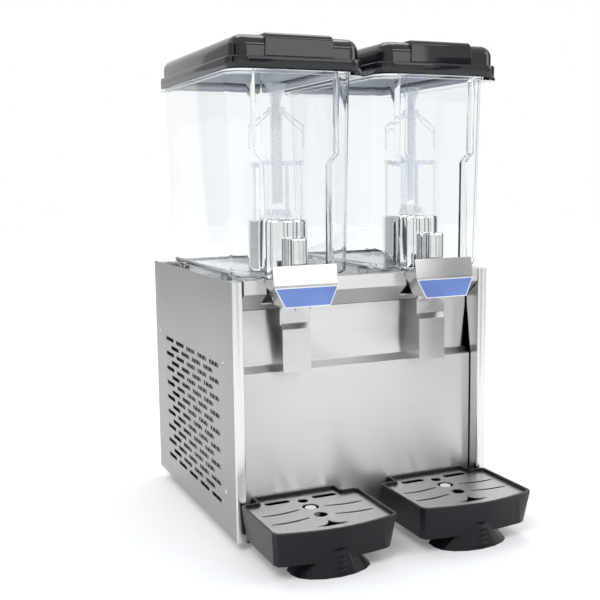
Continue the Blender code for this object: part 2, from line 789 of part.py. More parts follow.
def box_loop(middle, height, length, tall):
    """A rectangle in an outline's own plane."""
    near, far = middle - length / 2, middle + length / 2
    low, high = height - tall / 2, height + tall / 2
    return [(near, low), (far, low), (far, high), (near, high)]


# Materials

STEEL = material("brushed_steel", (0.62, 0.62, 0.60), 0.32, 1.0)
CHROME = material("polished_steel", (0.78, 0.78, 0.78), 0.08, 1.0)
BLACK = material("gloss_black_plastic", (0.012, 0.013, 0.015), 0.18)
CHARCOAL = material("charcoal_plastic", (0.030, 0.032, 0.036), 0.42)
RUBBER = material("black_rubber", (0.020, 0.020, 0.020), 0.75)
CLEAR = material("clear_plastic", (0.93, 0.96, 0.98), 0.04, 0.0, 1.0)
FROSTED = material("frosted_plastic", (0.85, 0.88, 0.90), 0.25, 0.0, 0.8)
BLUE = material("blue_plaque", (0.115, 0.205, 0.620), 0.35)
WHITE = material("white_plastic", (0.80, 0.80, 0.78), 0.40)
SILICONE = material("grey_silicone", (0.55, 0.56, 0.57), 0.60)
PAINT = material("black_paint", (0.025, 0.025, 0.028), 0.38)
ALUMINIUM = material("aluminium_fins", (0.72, 0.73, 0.74), 0.45, 1.0)
COPPER = material("copper", (0.72, 0.36, 0.22), 0.30, 1.0)


# Body

def side_panel(name, side):
    """Folded side sheet with its vents, front column and column cap."""
    faces = sorted((side * (HALF - SHEET), side * HALF))
    sheet = block(name, (faces[0], FRONT + GAP * 2, PANEL_FOOT), (faces[1], FRONT + BODY_DEPTH, PANEL_TOP))
    loops = []
    for row in range(VENT_ROWS):
        staggered = row % 2
        height = VENT_TOP - row * ROW_PITCH
        for place_in_row in range(SLOTS_IN_ROW - staggered):
            middle = VENT_FRONT + SLOT_LENGTH / 2
            middle += (place_in_row + staggered / 2) * SLOT_PITCH
            loops.append(slot_loop(FRONT + middle, height, SLOT_LENGTH, SLOT_HEIGHT))
    vents = outline_solid(name + "_vents", loops, SHEET * 3, side_frame(side * (HALF - SHEET / 2)))
    outer = HALF - GAP / 2
    plan = [(outer, FRONT), (outer, FRONT + SHEET), (COLUMN_INNER, FRONT + SHEET),
            (COLUMN_INNER, FRONT + COLUMN_WALL_DEPTH), (COLUMN_WALL, FRONT + COLUMN_WALL_DEPTH),
            (COLUMN_WALL, FRONT)]
    plan = [(side * x, y) for x, y in plan]
    column = outline_solid(name + "_column", [plan], PANEL_TOP - COLUMN_FOOT + GAP,
                           flat_frame((PANEL_TOP + COLUMN_FOOT + GAP) / 2))
    ends = sorted((side * (COLUMN_WALL + GAP), side * (outer - GAP)))
    cap = block(name + "_cap", (ends[0], FRONT + GAP, PANEL_TOP - SHEET),
                (ends[1], FRONT + COLUMN_WALL_DEPTH - GAP, PANEL_TOP - GAP))
    join(sheet, column, cap)
    cut(sheet, vents)
    return finish(sheet, STEEL)


def front_panel():
    """One pressed sheet: lower face, sloped ledge and the niche above it."""
    outer = [(LOWER_DEPTH, BASE_TOP + GAP), (LOWER_DEPTH, LEDGE_FOOT), (NICHE_DEPTH, LEDGE_TOP),
             (NICHE_DEPTH, NICHE_TOP)]
    inner = [(depth + SHEET, height) for depth, height in reversed(outer)]
    return finish(profile_bar("front_panel", outer + inner, -PANEL_HALF, PANEL_HALF), STEEL)


def top_deck():
    """Recessed deck with side and rear upstands, the folded front lip and the tap notches."""
    under = DECK_TOP - SHEET
    lip = [(0, BAND_TOP), (LIP_DEPTH, BAND_TOP), (LIP_DEPTH, DECK_TOP), (LIP_LAP_DEPTH, DECK_TOP),
           (LIP_LAP_DEPTH, under), (LIP_DEPTH - SHEET, under), (LIP_DEPTH - SHEET, BAND_TOP - SHEET),
           (SHEET, BAND_TOP - SHEET), (SHEET, BAND_FOOT + SHEET * FOLD_SHARE),
           (SLOPE_BACK, SLOPE_FOOT + SHEET * 1.2), (SLOPE_BACK, SLOPE_FOOT), (0, BAND_FOOT)]
    deck = profile_bar("top_deck", lip, -PANEL_HALF, PANEL_HALF)
    near, far = FRONT + NICHE_DEPTH + GAP, FRONT + DECK_BACK
    pan = block("deck_pan", (-INSIDE, near, under - DECK_EXTRA), (INSIDE, far, DECK_RIM_TOP))
    hollow = block("deck_hollow", (-INSIDE + SHEET, near - OVERRUN, DECK_TOP + DECK_EXTRA),
                   (INSIDE - SHEET, far - SHEET, DECK_RIM_TOP + OVERRUN))
    cut(pan, hollow)
    join(deck, pan)
    for side in (-1, 1):
        x = side * UNIT_X
        cut(deck, block("tap_notch", (x - NOTCH_HALF, FRONT - OVERRUN, SLOPE_FOOT - OVERRUN),
                        (x + NOTCH_HALF, FRONT + NOTCH_DEPTH, BAND_TOP + OVERRUN)))
        cut(deck, rod("motor_hole", (x, FRONT + DRUM_DEPTH, 0), MOTOR_HOLE_RADIUS,
                      under - OVERRUN, DECK_TOP + OVERRUN, steps=TURN_STEPS))
    return finish(deck, STEEL)


def base_pan():
    """Shallow pan that carries the cooling unit."""
    near, far = FRONT + BASE_FRONT, FRONT + BASE_BACK
    pan = block("base_pan", (-BASE_HALF, near, PANEL_FOOT), (BASE_HALF, far, PANEL_FOOT + BASE_WALL))
    hollow = block("base_hollow", (-BASE_HALF + SHEET, near - OVERRUN, BASE_TOP),
                   (BASE_HALF - SHEET, far - SHEET, PANEL_FOOT + BASE_WALL + OVERRUN))
    front = block("base_front", (-BASE_HALF - OVERRUN, near - OVERRUN, BASE_TOP),
                  (BASE_HALF + OVERRUN, FRONT + LOWER_DEPTH + LAP * 2, PANEL_FOOT + BASE_WALL + OVERRUN))
    cut(pan, hollow, front)
    return finish(pan, STEEL)


def foot(name, side, depth):
    """Moulded foot with a waist."""
    top = PANEL_FOOT - GAP
    profile = [(0, top), (FOOT_RADIUS, top), (FOOT_RADIUS, top - FOOT_WAIST),
               (FOOT_TIP_RADIUS, top - FOOT_WAIST * FOOT_FLARE_SHARE), (FOOT_TIP_RADIUS, 0), (0, 0)]
    made = turned(name, profile, (side * FOOT_X, FRONT + depth, 0), SMALL_TURN_STEPS)
    return finish(made, RUBBER)


def rear_panel():
    """Rear sheet with louvre slots and the openings for switches, knob and gland."""
    edge = [(-INSIDE, BASE_TOP), (INSIDE, BASE_TOP), (INSIDE, REAR_TOP), (-INSIDE, REAR_TOP)]
    loops = [edge]
    for side in (-1, 1):
        for row in range(REAR_SLOT_ROWS):
            height = REAR_SLOT_FOOT + OVERRUN * 2 + row * REAR_SLOT_PITCH
            loops.append(slot_loop(side * REAR_SLOT_X, height, REAR_SLOT_LENGTH, SLOT_HEIGHT))
    for index in range(3):
        x = SWITCH_FIRST_X + index * SWITCH_PITCH
        loops.append(box_loop(x, SWITCH_Z, SWITCH_WIDTH, SWITCH_HEIGHT))
    loops.append(circle((KNOB_X, SWITCH_Z), KNOB_SHAFT_RADIUS + FIT))
    loops.append(circle((GLAND_X, GLAND_Z), GLAND_RADIUS * 0.8))
    made = outline_solid("rear_panel", loops, SHEET, front_frame(FRONT + REAR_DEPTH + SHEET / 2))
    return finish(made, STEEL)


def rocker(name, index):
    """Rocker switch: the tilting button on its pivot, seated in the rear panel's opening."""
    x = SWITCH_FIRST_X + index * SWITCH_PITCH
    back = REAR_DEPTH + SHEET
    wide, tall = SWITCH_WIDTH / 2 - FIT, SWITCH_HEIGHT / 2 - FIT
    loop = [(REAR_DEPTH - SWITCH_BODY_DEPTH, -tall * ROCKER_TAPER_SHARE), (back, -tall),
            (back + SWITCH_PROUD, -tall), (back + SWITCH_PROUD * 0.4, 0),
            (back + SWITCH_PROUD * 0.8, tall), (back, tall),
            (REAR_DEPTH - SWITCH_BODY_DEPTH, tall * ROCKER_TAPER_SHARE)]
    loop = [(FRONT + depth, SWITCH_Z + height) for depth, height in loop]
    made = outline_solid(name, [loop], wide * 2, side_frame(x))
    return finish(made, BLACK, (x, FRONT + REAR_DEPTH, SWITCH_Z))


def thermostat_knob():
    """Round knob with a pointer groove, its shaft through the rear panel."""
    face = REAR_DEPTH + SHEET + GAP
    where = (KNOB_X, FRONT, SWITCH_Z)
    knob = rod("thermostat_knob", where, KNOB_RADIUS, face, face + KNOB_DEPTH, "Y", TURN_STEPS,
               KNOB_RADIUS - GAP * 4)
    shaft = rod("knob_shaft", where, KNOB_SHAFT_RADIUS, REAR_DEPTH - KNOB_DEPTH, face + LAP, "Y")
    join(knob, shaft)
    top = FRONT + face + KNOB_DEPTH
    for side in (-1, 1):
        low = KNOB_X + (KNOB_GRIP / 2 if side > 0 else -KNOB_GRIP / 2 - KNOB_RADIUS)
        cut(knob, block("grip_side", (low, top - KNOB_DEPTH * KNOB_GRIP_SHARE, SWITCH_Z - KNOB_RADIUS * 2),
                        (low + KNOB_RADIUS, top + OVERRUN, SWITCH_Z + KNOB_RADIUS * 2)))
    return finish(knob, BLACK, (KNOB_X, FRONT + face, SWITCH_Z))


def cord_gland():
    """Empty gland for the mains cord, gripping the rear panel's opening."""
    where = (GLAND_X, FRONT, GLAND_Z)
    face = REAR_DEPTH + SHEET
    gland = rod("cord_gland", where, GLAND_RADIUS, face + GAP, face + GLAND_LENGTH, "Y",
                TURN_STEPS, GLAND_RADIUS * GLAND_NOSE_SHARE)
    join(gland, rod("gland_neck", where, GLAND_RADIUS * 0.8 - FIT, REAR_DEPTH - LAP * 2,
                    face + LAP, "Y", TURN_STEPS))
    cut(gland, rod("gland_bore", where, GLAND_BORE, REAR_DEPTH - OVERRUN,
                   face + GLAND_LENGTH + OVERRUN, "Y"))
    return finish(gland, RUBBER)


# Cooling unit

def compressor():
    """Welded steel pot on its foot plate."""
    profile = [(0, COMPRESSOR_TOP), (COMPRESSOR_RADIUS * 0.45, COMPRESSOR_TOP - LAP),
               (COMPRESSOR_RADIUS * 0.85, (COMPRESSOR_TOP + COMPRESSOR_SHOULDER) / 2),
               (COMPRESSOR_RADIUS, COMPRESSOR_SHOULDER), (COMPRESSOR_RADIUS, COMPRESSOR_BELLY),
               (COMPRESSOR_RADIUS * 0.8, COMPRESSOR_FOOT + COMPRESSOR_PLATE / 2),
               (0, COMPRESSOR_FOOT + COMPRESSOR_PLATE / 2)]
    where = (COMPRESSOR_X, FRONT + COMPRESSOR_DEPTH, 0)
    pot = turned("compressor", profile, where)
    reach = COMPRESSOR_PLATE_HALF
    plate = block("compressor_plate",
                  (where[0] - reach, where[1] - reach, COMPRESSOR_FOOT),
                  (where[0] + reach, where[1] + reach, COMPRESSOR_FOOT + COMPRESSOR_PLATE))
    join(pot, plate)
    return finish(pot, PAINT)


def condenser():
    """Finned block behind the left vents."""
    loop = []
    pitch = (CONDENSER_BACK - CONDENSER_FRONT) / CONDENSER_FINS
    left, right = CONDENSER_X, CONDENSER_X + CONDENSER_THICK
    near = FRONT + CONDENSER_FRONT
    for index in range(CONDENSER_FINS):
        start = near + index * pitch
        groove = pitch * FIN_CUT_SHARE
        loop += [(left, start), (left, start + pitch - groove),
                 (left + FIN_CUT_DEPTH, start + pitch - groove)]
        loop += [(left + FIN_CUT_DEPTH, start + pitch)]
    last = near + CONDENSER_FINS * pitch
    loop += [(left, last), (left, last + pitch - groove), (right, last + pitch - groove), (right, near)]
    made = outline_solid("condenser", [loop[::-1]], CONDENSER_TOP - CONDENSER_FOOT,
                         flat_frame((CONDENSER_TOP + CONDENSER_FOOT) / 2))
    return finish(made, ALUMINIUM)


def condenser_fan():
    """Hub with pitched blades on the fan motor's shaft."""
    where = (0, FRONT + FAN_DEPTH, FAN_Z)
    hub = rod("condenser_fan", where, FAN_HUB_RADIUS, FAN_X - FAN_HUB_HALF, FAN_X + FAN_HUB_HALF,
              "X", TURN_STEPS)
    for index in range(FAN_BLADES):
        blade = block("fan_blade", (-FAN_BLADE_THICK / 2, -FAN_BLADE_HALF, FAN_HUB_RADIUS * BLADE_ROOT_SHARE),
                      (FAN_BLADE_THICK / 2, FAN_BLADE_HALF, FAN_RADIUS))
        turn = Matrix.Rotation(math.tau * index / FAN_BLADES, 4, "X")
        pitch = Matrix.Rotation(math.radians(FAN_PITCH_DEG), 4, "Z")
        blade.data.transform(Matrix.Translation((FAN_X, where[1], FAN_Z)) @ turn @ pitch)
        join(hub, blade)
    cut(hub, rod("fan_bore", where, FAN_BORE, FAN_X - OVERRUN * 2, FAN_X + OVERRUN * 2, "X"))
    return finish(hub, BLACK, (FAN_X, where[1], FAN_Z))


def fan_motor():
    """Fan motor on its leg, its shaft towards the fan."""
    where = (0, FRONT + FAN_DEPTH, FAN_Z)
    can = rod("fan_motor", where, FAN_MOTOR_RADIUS, FAN_MOTOR_FRONT, FAN_MOTOR_BACK, "X", TURN_STEPS)
    join(can, rod("fan_shaft", where, FAN_SHAFT, FAN_X - FAN_HUB_HALF - LAP, FAN_MOTOR_FRONT + LAP, "X"))
    middle = (FAN_MOTOR_FRONT + FAN_MOTOR_BACK) / 2
    leg = block("fan_leg", (middle - FAN_LEG_HALF, where[1] - FAN_LEG_HALF, FAN_LEG_FOOT),
                (middle + FAN_LEG_HALF, where[1] + FAN_LEG_HALF, FAN_Z - LAP))
    join(can, leg)
    return finish(can, PAINT)


def filter_drier():
    """Copper drier with its two drawn ends, standing in the base pan."""
    span = (DRIER_TOP - DRIER_FOOT) / 6
    profile = [(0, DRIER_TOP), (DRIER_END_RADIUS, DRIER_TOP), (DRIER_END_RADIUS, DRIER_TOP - span / 2),
               (DRIER_RADIUS, DRIER_TOP - span), (DRIER_RADIUS, DRIER_FOOT + span),
               (DRIER_END_RADIUS, DRIER_FOOT + span / 2), (DRIER_END_RADIUS, DRIER_FOOT), (0, DRIER_FOOT)]
    made = turned("filter_drier", profile, (DRIER_X, FRONT + DRIER_DEPTH, 0), SMALL_TURN_STEPS)
    return finish(made, COPPER)


def discharge_pipe():
    """Pipe from the compressor's shoulder over to the condenser's end."""
    start = Vector((COMPRESSOR_X, FRONT + COMPRESSOR_DEPTH, COMPRESSOR_TOP + GAP))
    rise = Vector((start.x, start.y, PIPE_RISE))
    over = Vector((start.x, FRONT + CONDENSER_BACK, PIPE_RISE))
    end = Vector((CONDENSER_X + CONDENSER_THICK + GAP, over.y, PIPE_RISE))
    path = [start]
    for before, corner, after in ((start, rise, over), (rise, over, end)):
        into, out = (corner - before).normalized(), (after - corner).normalized()
        centre = corner + (out - into) * PIPE_BEND
        for step in range(ROUND_STEPS + 1):
            turn = math.pi / 2 * step / ROUND_STEPS
            path.append(centre - out * PIPE_BEND * math.cos(turn) + into * PIPE_BEND * math.sin(turn))
    path.append(end)
    return finish(sweep("discharge_pipe", path, PIPE_RADIUS), COPPER)


# Unit pieces

def drum(side, tag):
    """Evaporator drum, open underneath for its drive."""
    edge = [(DRUM_RADIUS - DRUM_EDGE + DRUM_EDGE * math.sin(turn),
             DRUM_TOP - DRUM_EDGE + DRUM_EDGE * math.cos(turn))
            for turn in (i * math.pi / 2 / ROUND_STEPS for i in range(ROUND_STEPS + 1))]
    foot_z = DECK_TOP + DECK_EXTRA + GAP
    inner = DRUM_RADIUS - DRUM_WALL
    profile = [(0, DRUM_TOP)] + edge + [(DRUM_RADIUS, foot_z), (inner, foot_z),
                                        (inner, DRUM_TOP - DRUM_WALL), (0, DRUM_TOP - DRUM_WALL)]
    return finish(turned("drum_" + tag, profile, (side * UNIT_X, FRONT + DRUM_DEPTH, 0), DRUM_STEPS), CHROME)


def gasket(side, tag):
    """Soft ring between the tank floor and the drum."""
    low = DECK_TOP + DECK_EXTRA + GAP
    high = TANK_FLOOR + TANK_WALL * GASKET_HEIGHT_SHARE
    outer, inner = DRUM_HOLE_RADIUS - GAP, DRUM_RADIUS + GAP
    profile = [(outer, high), (outer, low), (inner, low), (inner, high)]
    made = turned("tank_gasket_" + tag, profile, (side * UNIT_X, FRONT + DRUM_DEPTH, 0), DRUM_STEPS)
    return finish(made, SILICONE)


def pilaster_plan(x, half, front, root):
    """Chamfered panel on the tank's front wall."""
    near, far = FRONT + front, FRONT + root
    chamfer = PILASTER_CHAMFER
    return [(x - half, far), (x - half, near + chamfer), (x - half + chamfer, near),
            (x + half - chamfer, near), (x + half, near + chamfer), (x + half, far)]


def tank_body(name, x, inset, floor, top):
    """The tank's box with rounded floor, drawn in by the inset for its inside."""
    corner = TANK_CORNER - inset
    stations = []
    for step in range(ROUND_STEPS + 1):
        turn = math.pi / 2 * step / ROUND_STEPS
        tuck = TANK_ROUND * (1 - math.sin(turn))
        height = floor + TANK_ROUND * (1 - math.cos(turn))
        stations.append((height, rounded_plan(x, TANK_HALF_FOOT - inset - tuck,
                                              TANK_FRONT_FOOT + inset + tuck,
                                              TANK_BACK_FOOT - inset - tuck, corner - tuck / 2)))
    stations.append((top, rounded_plan(x, TANK_HALF_TOP - inset, TANK_FRONT_TOP + inset,
                                       TANK_BACK_TOP - inset, corner)))
    return loft(name, stations)


def tank_pilaster(name, x, inset, chin, top):
    """The stepped pilaster with its chin, drawn in by the inset for its inside."""
    front, chin_root = PILASTER_FRONT + inset, NOTCH_DEPTH - LAP - inset
    rows = [(chin, CHIN_HALF, chin_root), (CHIN_WAIST, CHIN_WAIST_HALF, chin_root),
            (CHIN_SHOULDER, PILASTER_NARROW, PILASTER_ROOT),
            (PILASTER_BEND_FOOT, PILASTER_NARROW, PILASTER_ROOT),
            (PILASTER_BEND_TOP, PILASTER_WIDE, PILASTER_ROOT), (top, PILASTER_WIDE, PILASTER_ROOT)]
    return loft(name, [(z, pilaster_plan(x, half - inset, front, root)) for z, half, root in rows])


def tank(side, tag):
    """Clear tank: box and pilaster made hollow, flange, floor openings and tabs."""
    x = side * UNIT_X
    body = tank_body("tank_" + tag, x, 0, TANK_FLOOR, TANK_TOP - GAP)
    join(body, tank_pilaster("tank_pilaster", x, 0, CHIN_FOOT, TANK_TOP - GAP * 2))
    plan = rounded_plan(x, FLANGE_HALF, FLANGE_FRONT, FLANGE_BACK, LID_CORNER)
    join(body, loft("tank_flange", [(FLANGE_FOOT, plan), (TANK_TOP, plan)]))
    for depth in (TAB_FRONT, TAB_BACK):
        for hand in (-1, 1):
            middle = x + hand * TAB_X
            low = (middle - TAB_WIDTH / 2, FRONT + depth, DECK_TOP + DECK_EXTRA + GAP)
            high = (middle + TAB_WIDTH / 2, FRONT + depth + TAB_LENGTH,
                    TANK_FLOOR + TANK_ROUND * TAB_SINK_SHARE)
            join(body, block("tank_tab", low, high))
    inside_top = TANK_TOP + OVERRUN
    cut(body, tank_body("tank_inside", x, TANK_WALL, TANK_FLOOR + TANK_WALL, inside_top),
        tank_pilaster("pilaster_inside", x, TANK_WALL, CHIN_FOOT + TANK_WALL, inside_top + GAP))
    cut(body, rod("drum_opening", (x, FRONT + DRUM_DEPTH, 0), DRUM_HOLE_RADIUS, TANK_FLOOR - OVERRUN,
                  TANK_FLOOR + TANK_WALL + OVERRUN, steps=DRUM_STEPS),
        rod("valve_opening", (x, FRONT + TUBE_DEPTH, 0), VALVE_HOLE_RADIUS, CHIN_FOOT - OVERRUN,
            CHIN_FOOT + TANK_WALL + LAP))
    return finish(body, CLEAR, (x, FRONT + DRUM_DEPTH, TANK_FLOOR), angle=TANK_EDGE_ANGLE)


def lid_shell(name, x, inset, foot_z, step_z, top):
    """Skirt and domed top as one solid, drawn in by the inset for the inside."""
    corner = LID_CORNER - inset
    half, near, far = LID_HALF - inset, LID_FRONT + inset, LID_BACK - inset
    skirt = rounded_plan(x, half, near, far, corner)
    stations = [(foot_z, skirt), (step_z, skirt)]
    for step in range(ROUND_STEPS + 2):
        turn = math.pi / 2 * max(step - 1, 0) / ROUND_STEPS
        tuck = LID_INSET + LID_ROUND * (1 - math.cos(turn))
        height = step_z if step == 0 else top - LID_ROUND + LID_ROUND * math.sin(turn)
        edge = max(corner - LID_INSET - LID_ROUND * (1 - math.cos(turn)) * 0.4, GAP)
        stations.append((height, rounded_plan(x, half - tuck, near + tuck, far - tuck, edge)))
    stations[2] = (step_z + GAP, stations[2][1])
    return loft(name, stations)


def lid(side, tag):
    """Moulded lid: domed shell with the raised block at its front."""
    x = side * UNIT_X
    shell = lid_shell("lid_" + tag, x, 0, LID_FOOT, LID_STEP, LID_TOP)
    hump = block("lid_block", (x - BLOCK_HALF, FRONT + LID_FRONT + LID_INSET - BLOCK_PROUD, LID_STEP - LAP),
                 (x + BLOCK_HALF, FRONT + BLOCK_BACK, BLOCK_TOP))
    soften = hump.modifiers.new("soften", "BEVEL")
    soften.width = BLOCK_ROUND
    soften.segments = 2
    join(shell, hump)
    cut(shell, lid_shell("lid_inside", x, LID_WALL, LID_FOOT - OVERRUN, LID_STEP - LID_WALL,
                         LID_TOP - LID_WALL))
    return finish(shell, BLACK, (x, FRONT + LID_BACK / 2, LID_FOOT))


def spray_tower(side, tag):
    """Clear frame on the drum: ring on legs, spokes, tube, collar, cup and two loop arms."""
    x, y = side * UNIT_X, FRONT + DRUM_DEPTH
    ring_in = TOWER_RING_RADIUS - TOWER_RING_WIDTH
    profile = [(TOWER_RING_RADIUS, TOWER_RING_TOP), (TOWER_RING_RADIUS, TOWER_RING_FOOT),
               (ring_in, TOWER_RING_FOOT), (ring_in, TOWER_RING_TOP)]
    tower = turned("spray_tower_" + tag, profile, (x, y, 0))
    tube = [(TOWER_CUP_RADIUS, TOWER_CUP_TOP), (TOWER_NECK_RADIUS + TOWER_CUP_WALL, TOWER_NECK_TOP),
            (TOWER_NECK_RADIUS, TOWER_COLLAR_TOP + LAP), (TOWER_COLLAR_RADIUS, TOWER_COLLAR_TOP),
            (TOWER_COLLAR_RADIUS, TOWER_COLLAR_FOOT), (TOWER_TUBE_RADIUS, TOWER_COLLAR_FOOT - LAP),
            (TOWER_TUBE_RADIUS, TOWER_TUBE_FOOT), (TOWER_TUBE_BORE, TOWER_TUBE_FOOT),
            (TOWER_TUBE_BORE, TOWER_COLLAR_FOOT), (TOWER_NECK_RADIUS - TOWER_CUP_WALL, TOWER_COLLAR_TOP),
            (TOWER_NECK_RADIUS - TOWER_CUP_WALL, TOWER_NECK_TOP),
            (TOWER_CUP_RADIUS - TOWER_CUP_WALL, TOWER_CUP_TOP)]
    join(tower, turned("tower_tube", tube, (x, y, 0), SMALL_TURN_STEPS))
    for index in range(TOWER_LEGS):
        turn = Matrix.Rotation(math.tau * (index + 0.5) / TOWER_LEGS, 4, "Z")
        out = TOWER_RING_RADIUS - TOWER_RING_WIDTH * 0.1
        leg = block("tower_leg", (out - TOWER_LEG * LEG_SINK_SHARE, -TOWER_LEG / 2, TOWER_FOOT),
                    (out, TOWER_LEG / 2, TOWER_RING_TOP - LAP))
        spoke = block("tower_spoke", (TOWER_TUBE_BORE + LAP / 2, -TOWER_LEG / 4, TOWER_RING_FOOT + LAP / 2),
                      (out - LAP, TOWER_LEG / 4, TOWER_RING_TOP - LAP / 2))
        for piece in (leg, spoke):
            piece.data.transform(Matrix.Translation((x, y, 0)) @ turn)
            join(tower, piece)
    for hand in (-1, 1):
        inner, outer = x + hand * ARM_IN, x + hand * ARM_OUT
        lower = ARM_TOP - ARM_DROP
        loop = [(inner, y, ARM_TOP - ARM_RADIUS), (outer, y, lower), (outer, y, lower - ARM_DEEP),
                (inner, y, ARM_TOP - ARM_DEEP * ARM_SINK_SHARE)]
        join(tower, sweep("tower_arm", loop, ARM_RADIUS, 0))
        join(tower, sweep("arm_end", [(outer, y, lower + ARM_RADIUS / 2), (outer, y, lower - ARM_END)],
                          ARM_RADIUS * 1.15, 0))
    return finish(tower, FROSTED, (x, y, TOWER_FOOT))


def impeller(side, tag):
    """Bladed rotor on the drum's top."""
    where = (side * UNIT_X, FRONT + DRUM_DEPTH, 0)
    rotor = rod("impeller_" + tag, where, IMPELLER_RADIUS, IMPELLER_FOOT, IMPELLER_FOOT + IMPELLER_DISC,
                steps=TURN_STEPS)
    join(rotor, rod("impeller_hub", where, IMPELLER_HUB, IMPELLER_FOOT + IMPELLER_DISC / 2, IMPELLER_TOP),
         rod("impeller_pip", where, IMPELLER_PIP, DRUM_TOP + GAP, IMPELLER_FOOT + IMPELLER_DISC / 3))
    for index in range(IMPELLER_BLADES):
        root = (IMPELLER_HUB * VANE_ROOT_SHARE, -IMPELLER_BLADE / 2, IMPELLER_FOOT + GAP * 2)
        blade = block("impeller_blade", root,
                      (IMPELLER_RADIUS * 0.94, IMPELLER_BLADE / 2, IMPELLER_TOP - LAP))
        turn = Matrix.Rotation(math.tau * index / IMPELLER_BLADES, 4, "Z")
        blade.data.transform(Matrix.Translation(where) @ turn)
        join(rotor, blade)
    return finish(rotor, WHITE, (where[0], where[1], IMPELLER_FOOT))


def drive_magnet(side, tag):
    """Magnet disc on the motor shaft, just under the drum's top."""
    profile = [(0, MAGNET_TOP), (MAGNET_RADIUS, MAGNET_TOP), (MAGNET_RADIUS, MAGNET_FOOT),
               (MOTOR_SHAFT_RADIUS * 2, MAGNET_FOOT), (MOTOR_SHAFT_RADIUS * 2, MAGNET_FOOT - LAP * 2),
               (MOTOR_SHAFT_RADIUS + GAP, MAGNET_FOOT - LAP * 2),
               (MOTOR_SHAFT_RADIUS + GAP, MAGNET_FOOT + LAP), (0, MAGNET_FOOT + LAP)]
    made = turned("drive_magnet_" + tag, profile, (side * UNIT_X, FRONT + DRUM_DEPTH, 0), SMALL_TURN_STEPS)
    return finish(made, PAINT, (side * UNIT_X, FRONT + DRUM_DEPTH, MAGNET_FOOT))


def pump_motor(side, tag):
    """Motor can inside the drum, its flange on the deck and its shaft to the magnet."""
    seat = DECK_TOP + DECK_EXTRA + GAP
    profile = [(0, MAGNET_FOOT + LAP - GAP), (MOTOR_SHAFT_RADIUS, MAGNET_FOOT + LAP - GAP),
               (MOTOR_SHAFT_RADIUS, MOTOR_TOP + LAP), (MOTOR_SHAFT_RADIUS * 2, MOTOR_TOP),
               (MOTOR_RADIUS - LAP, MOTOR_TOP), (MOTOR_RADIUS, MOTOR_TOP - LAP),
               (MOTOR_RADIUS, seat + MOTOR_FLANGE), (MOTOR_FLANGE_RADIUS, seat + MOTOR_FLANGE),
               (MOTOR_FLANGE_RADIUS, seat), (MOTOR_RADIUS, seat), (MOTOR_RADIUS, MOTOR_FOOT), (0, MOTOR_FOOT)]
    made = turned("pump_motor_" + tag, profile, (side * UNIT_X, FRONT + DRUM_DEPTH, 0), SMALL_TURN_STEPS)
    return finish(made, PAINT)


def valve_sleeve(side, tag):
    """Domed steel sleeve over the plunger, with intake slots at its foot."""
    inner = SLEEVE_RADIUS - SLEEVE_WALL
    profile = [(0, SLEEVE_TOP), (SLEEVE_RADIUS * DOME_CHEEK_SHARE, SLEEVE_TOP - SLEEVE_DOME * DOME_SAG_SHARE),
               (SLEEVE_RADIUS, SLEEVE_TOP - SLEEVE_DOME), (SLEEVE_RADIUS, SLEEVE_FOOT), (inner, SLEEVE_FOOT),
               (inner, SLEEVE_TOP - SLEEVE_DOME - SLEEVE_WALL), (0, SLEEVE_TOP - SLEEVE_DOME - SLEEVE_WALL)]
    where = (side * UNIT_X, FRONT + TUBE_DEPTH, 0)
    sleeve = turned("valve_sleeve_" + tag, profile, where, TURN_STEPS)
    across, along = SLEEVE_RADIUS * 2, SLEEVE_WALL * 4
    cut(sleeve, block("sleeve_slot", (where[0] - across, where[1] - along, SLEEVE_FOOT - OVERRUN),
                      (where[0] + across, where[1] + along, SLEEVE_FOOT + SLEEVE_WALL * 8)))
    return finish(sleeve, CHROME)


def plunger(side, tag):
    """Valve plunger: seal disc, guide body, spring spigot and the rod down to the lever."""
    profile = [(0, PLUNGER_TOP), (PLUNGER_SPIGOT, PLUNGER_TOP), (PLUNGER_SPIGOT, PLUNGER_SHOULDER),
               (PLUNGER_RADIUS, PLUNGER_SHOULDER), (PLUNGER_RADIUS, PLUNGER_SEAL_TOP),
               (PLUNGER_SEAL_RADIUS, PLUNGER_SEAL_TOP), (PLUNGER_SEAL_RADIUS, PLUNGER_SEAL_FOOT),
               (PLUNGER_ROD, PLUNGER_SEAL_FOOT), (PLUNGER_ROD, ROD_FOOT), (0, ROD_FOOT)]
    where = (side * UNIT_X, FRONT + TUBE_DEPTH, 0)
    plunger = turned("valve_plunger_" + tag, profile, where, SMALL_TURN_STEPS)
    return finish(plunger, WHITE, (where[0], where[1], ROD_FOOT))


def valve_spring(side, tag):
    """Coil spring between the plunger's shoulder and the sleeve."""
    x, y = side * UNIT_X, FRONT + TUBE_DEPTH
    count = SPRING_TURNS * SPRING_TURN_STEPS
    path = []
    for step in range(count + 1):
        turn = math.tau * step / SPRING_TURN_STEPS
        height = SPRING_FOOT + (SPRING_TOP - SPRING_FOOT) * step / count
        path.append((x + SPRING_RADIUS * math.cos(turn), y + SPRING_RADIUS * math.sin(turn), height))
    return finish(sweep("valve_spring_" + tag, path, SPRING_WIRE, 0), STEEL)


def nozzle(side, tag):
    """Outlet spout under the tank's chin."""
    top = CHIN_FOOT - GAP
    profile = [(NOZZLE_COLLAR, top), (NOZZLE_COLLAR, NOZZLE_COLLAR_FOOT),
               (NOZZLE_RADIUS, NOZZLE_COLLAR_FOOT - LAP / 2), (NOZZLE_RADIUS - LAP / 4, NOZZLE_FOOT),
               (NOZZLE_BORE, NOZZLE_FOOT), (NOZZLE_BORE, top)]
    made = turned("nozzle_" + tag, profile, (side * UNIT_X, FRONT + NOZZLE_DEPTH, 0), SMALL_TURN_STEPS)
    return finish(made, WHITE)


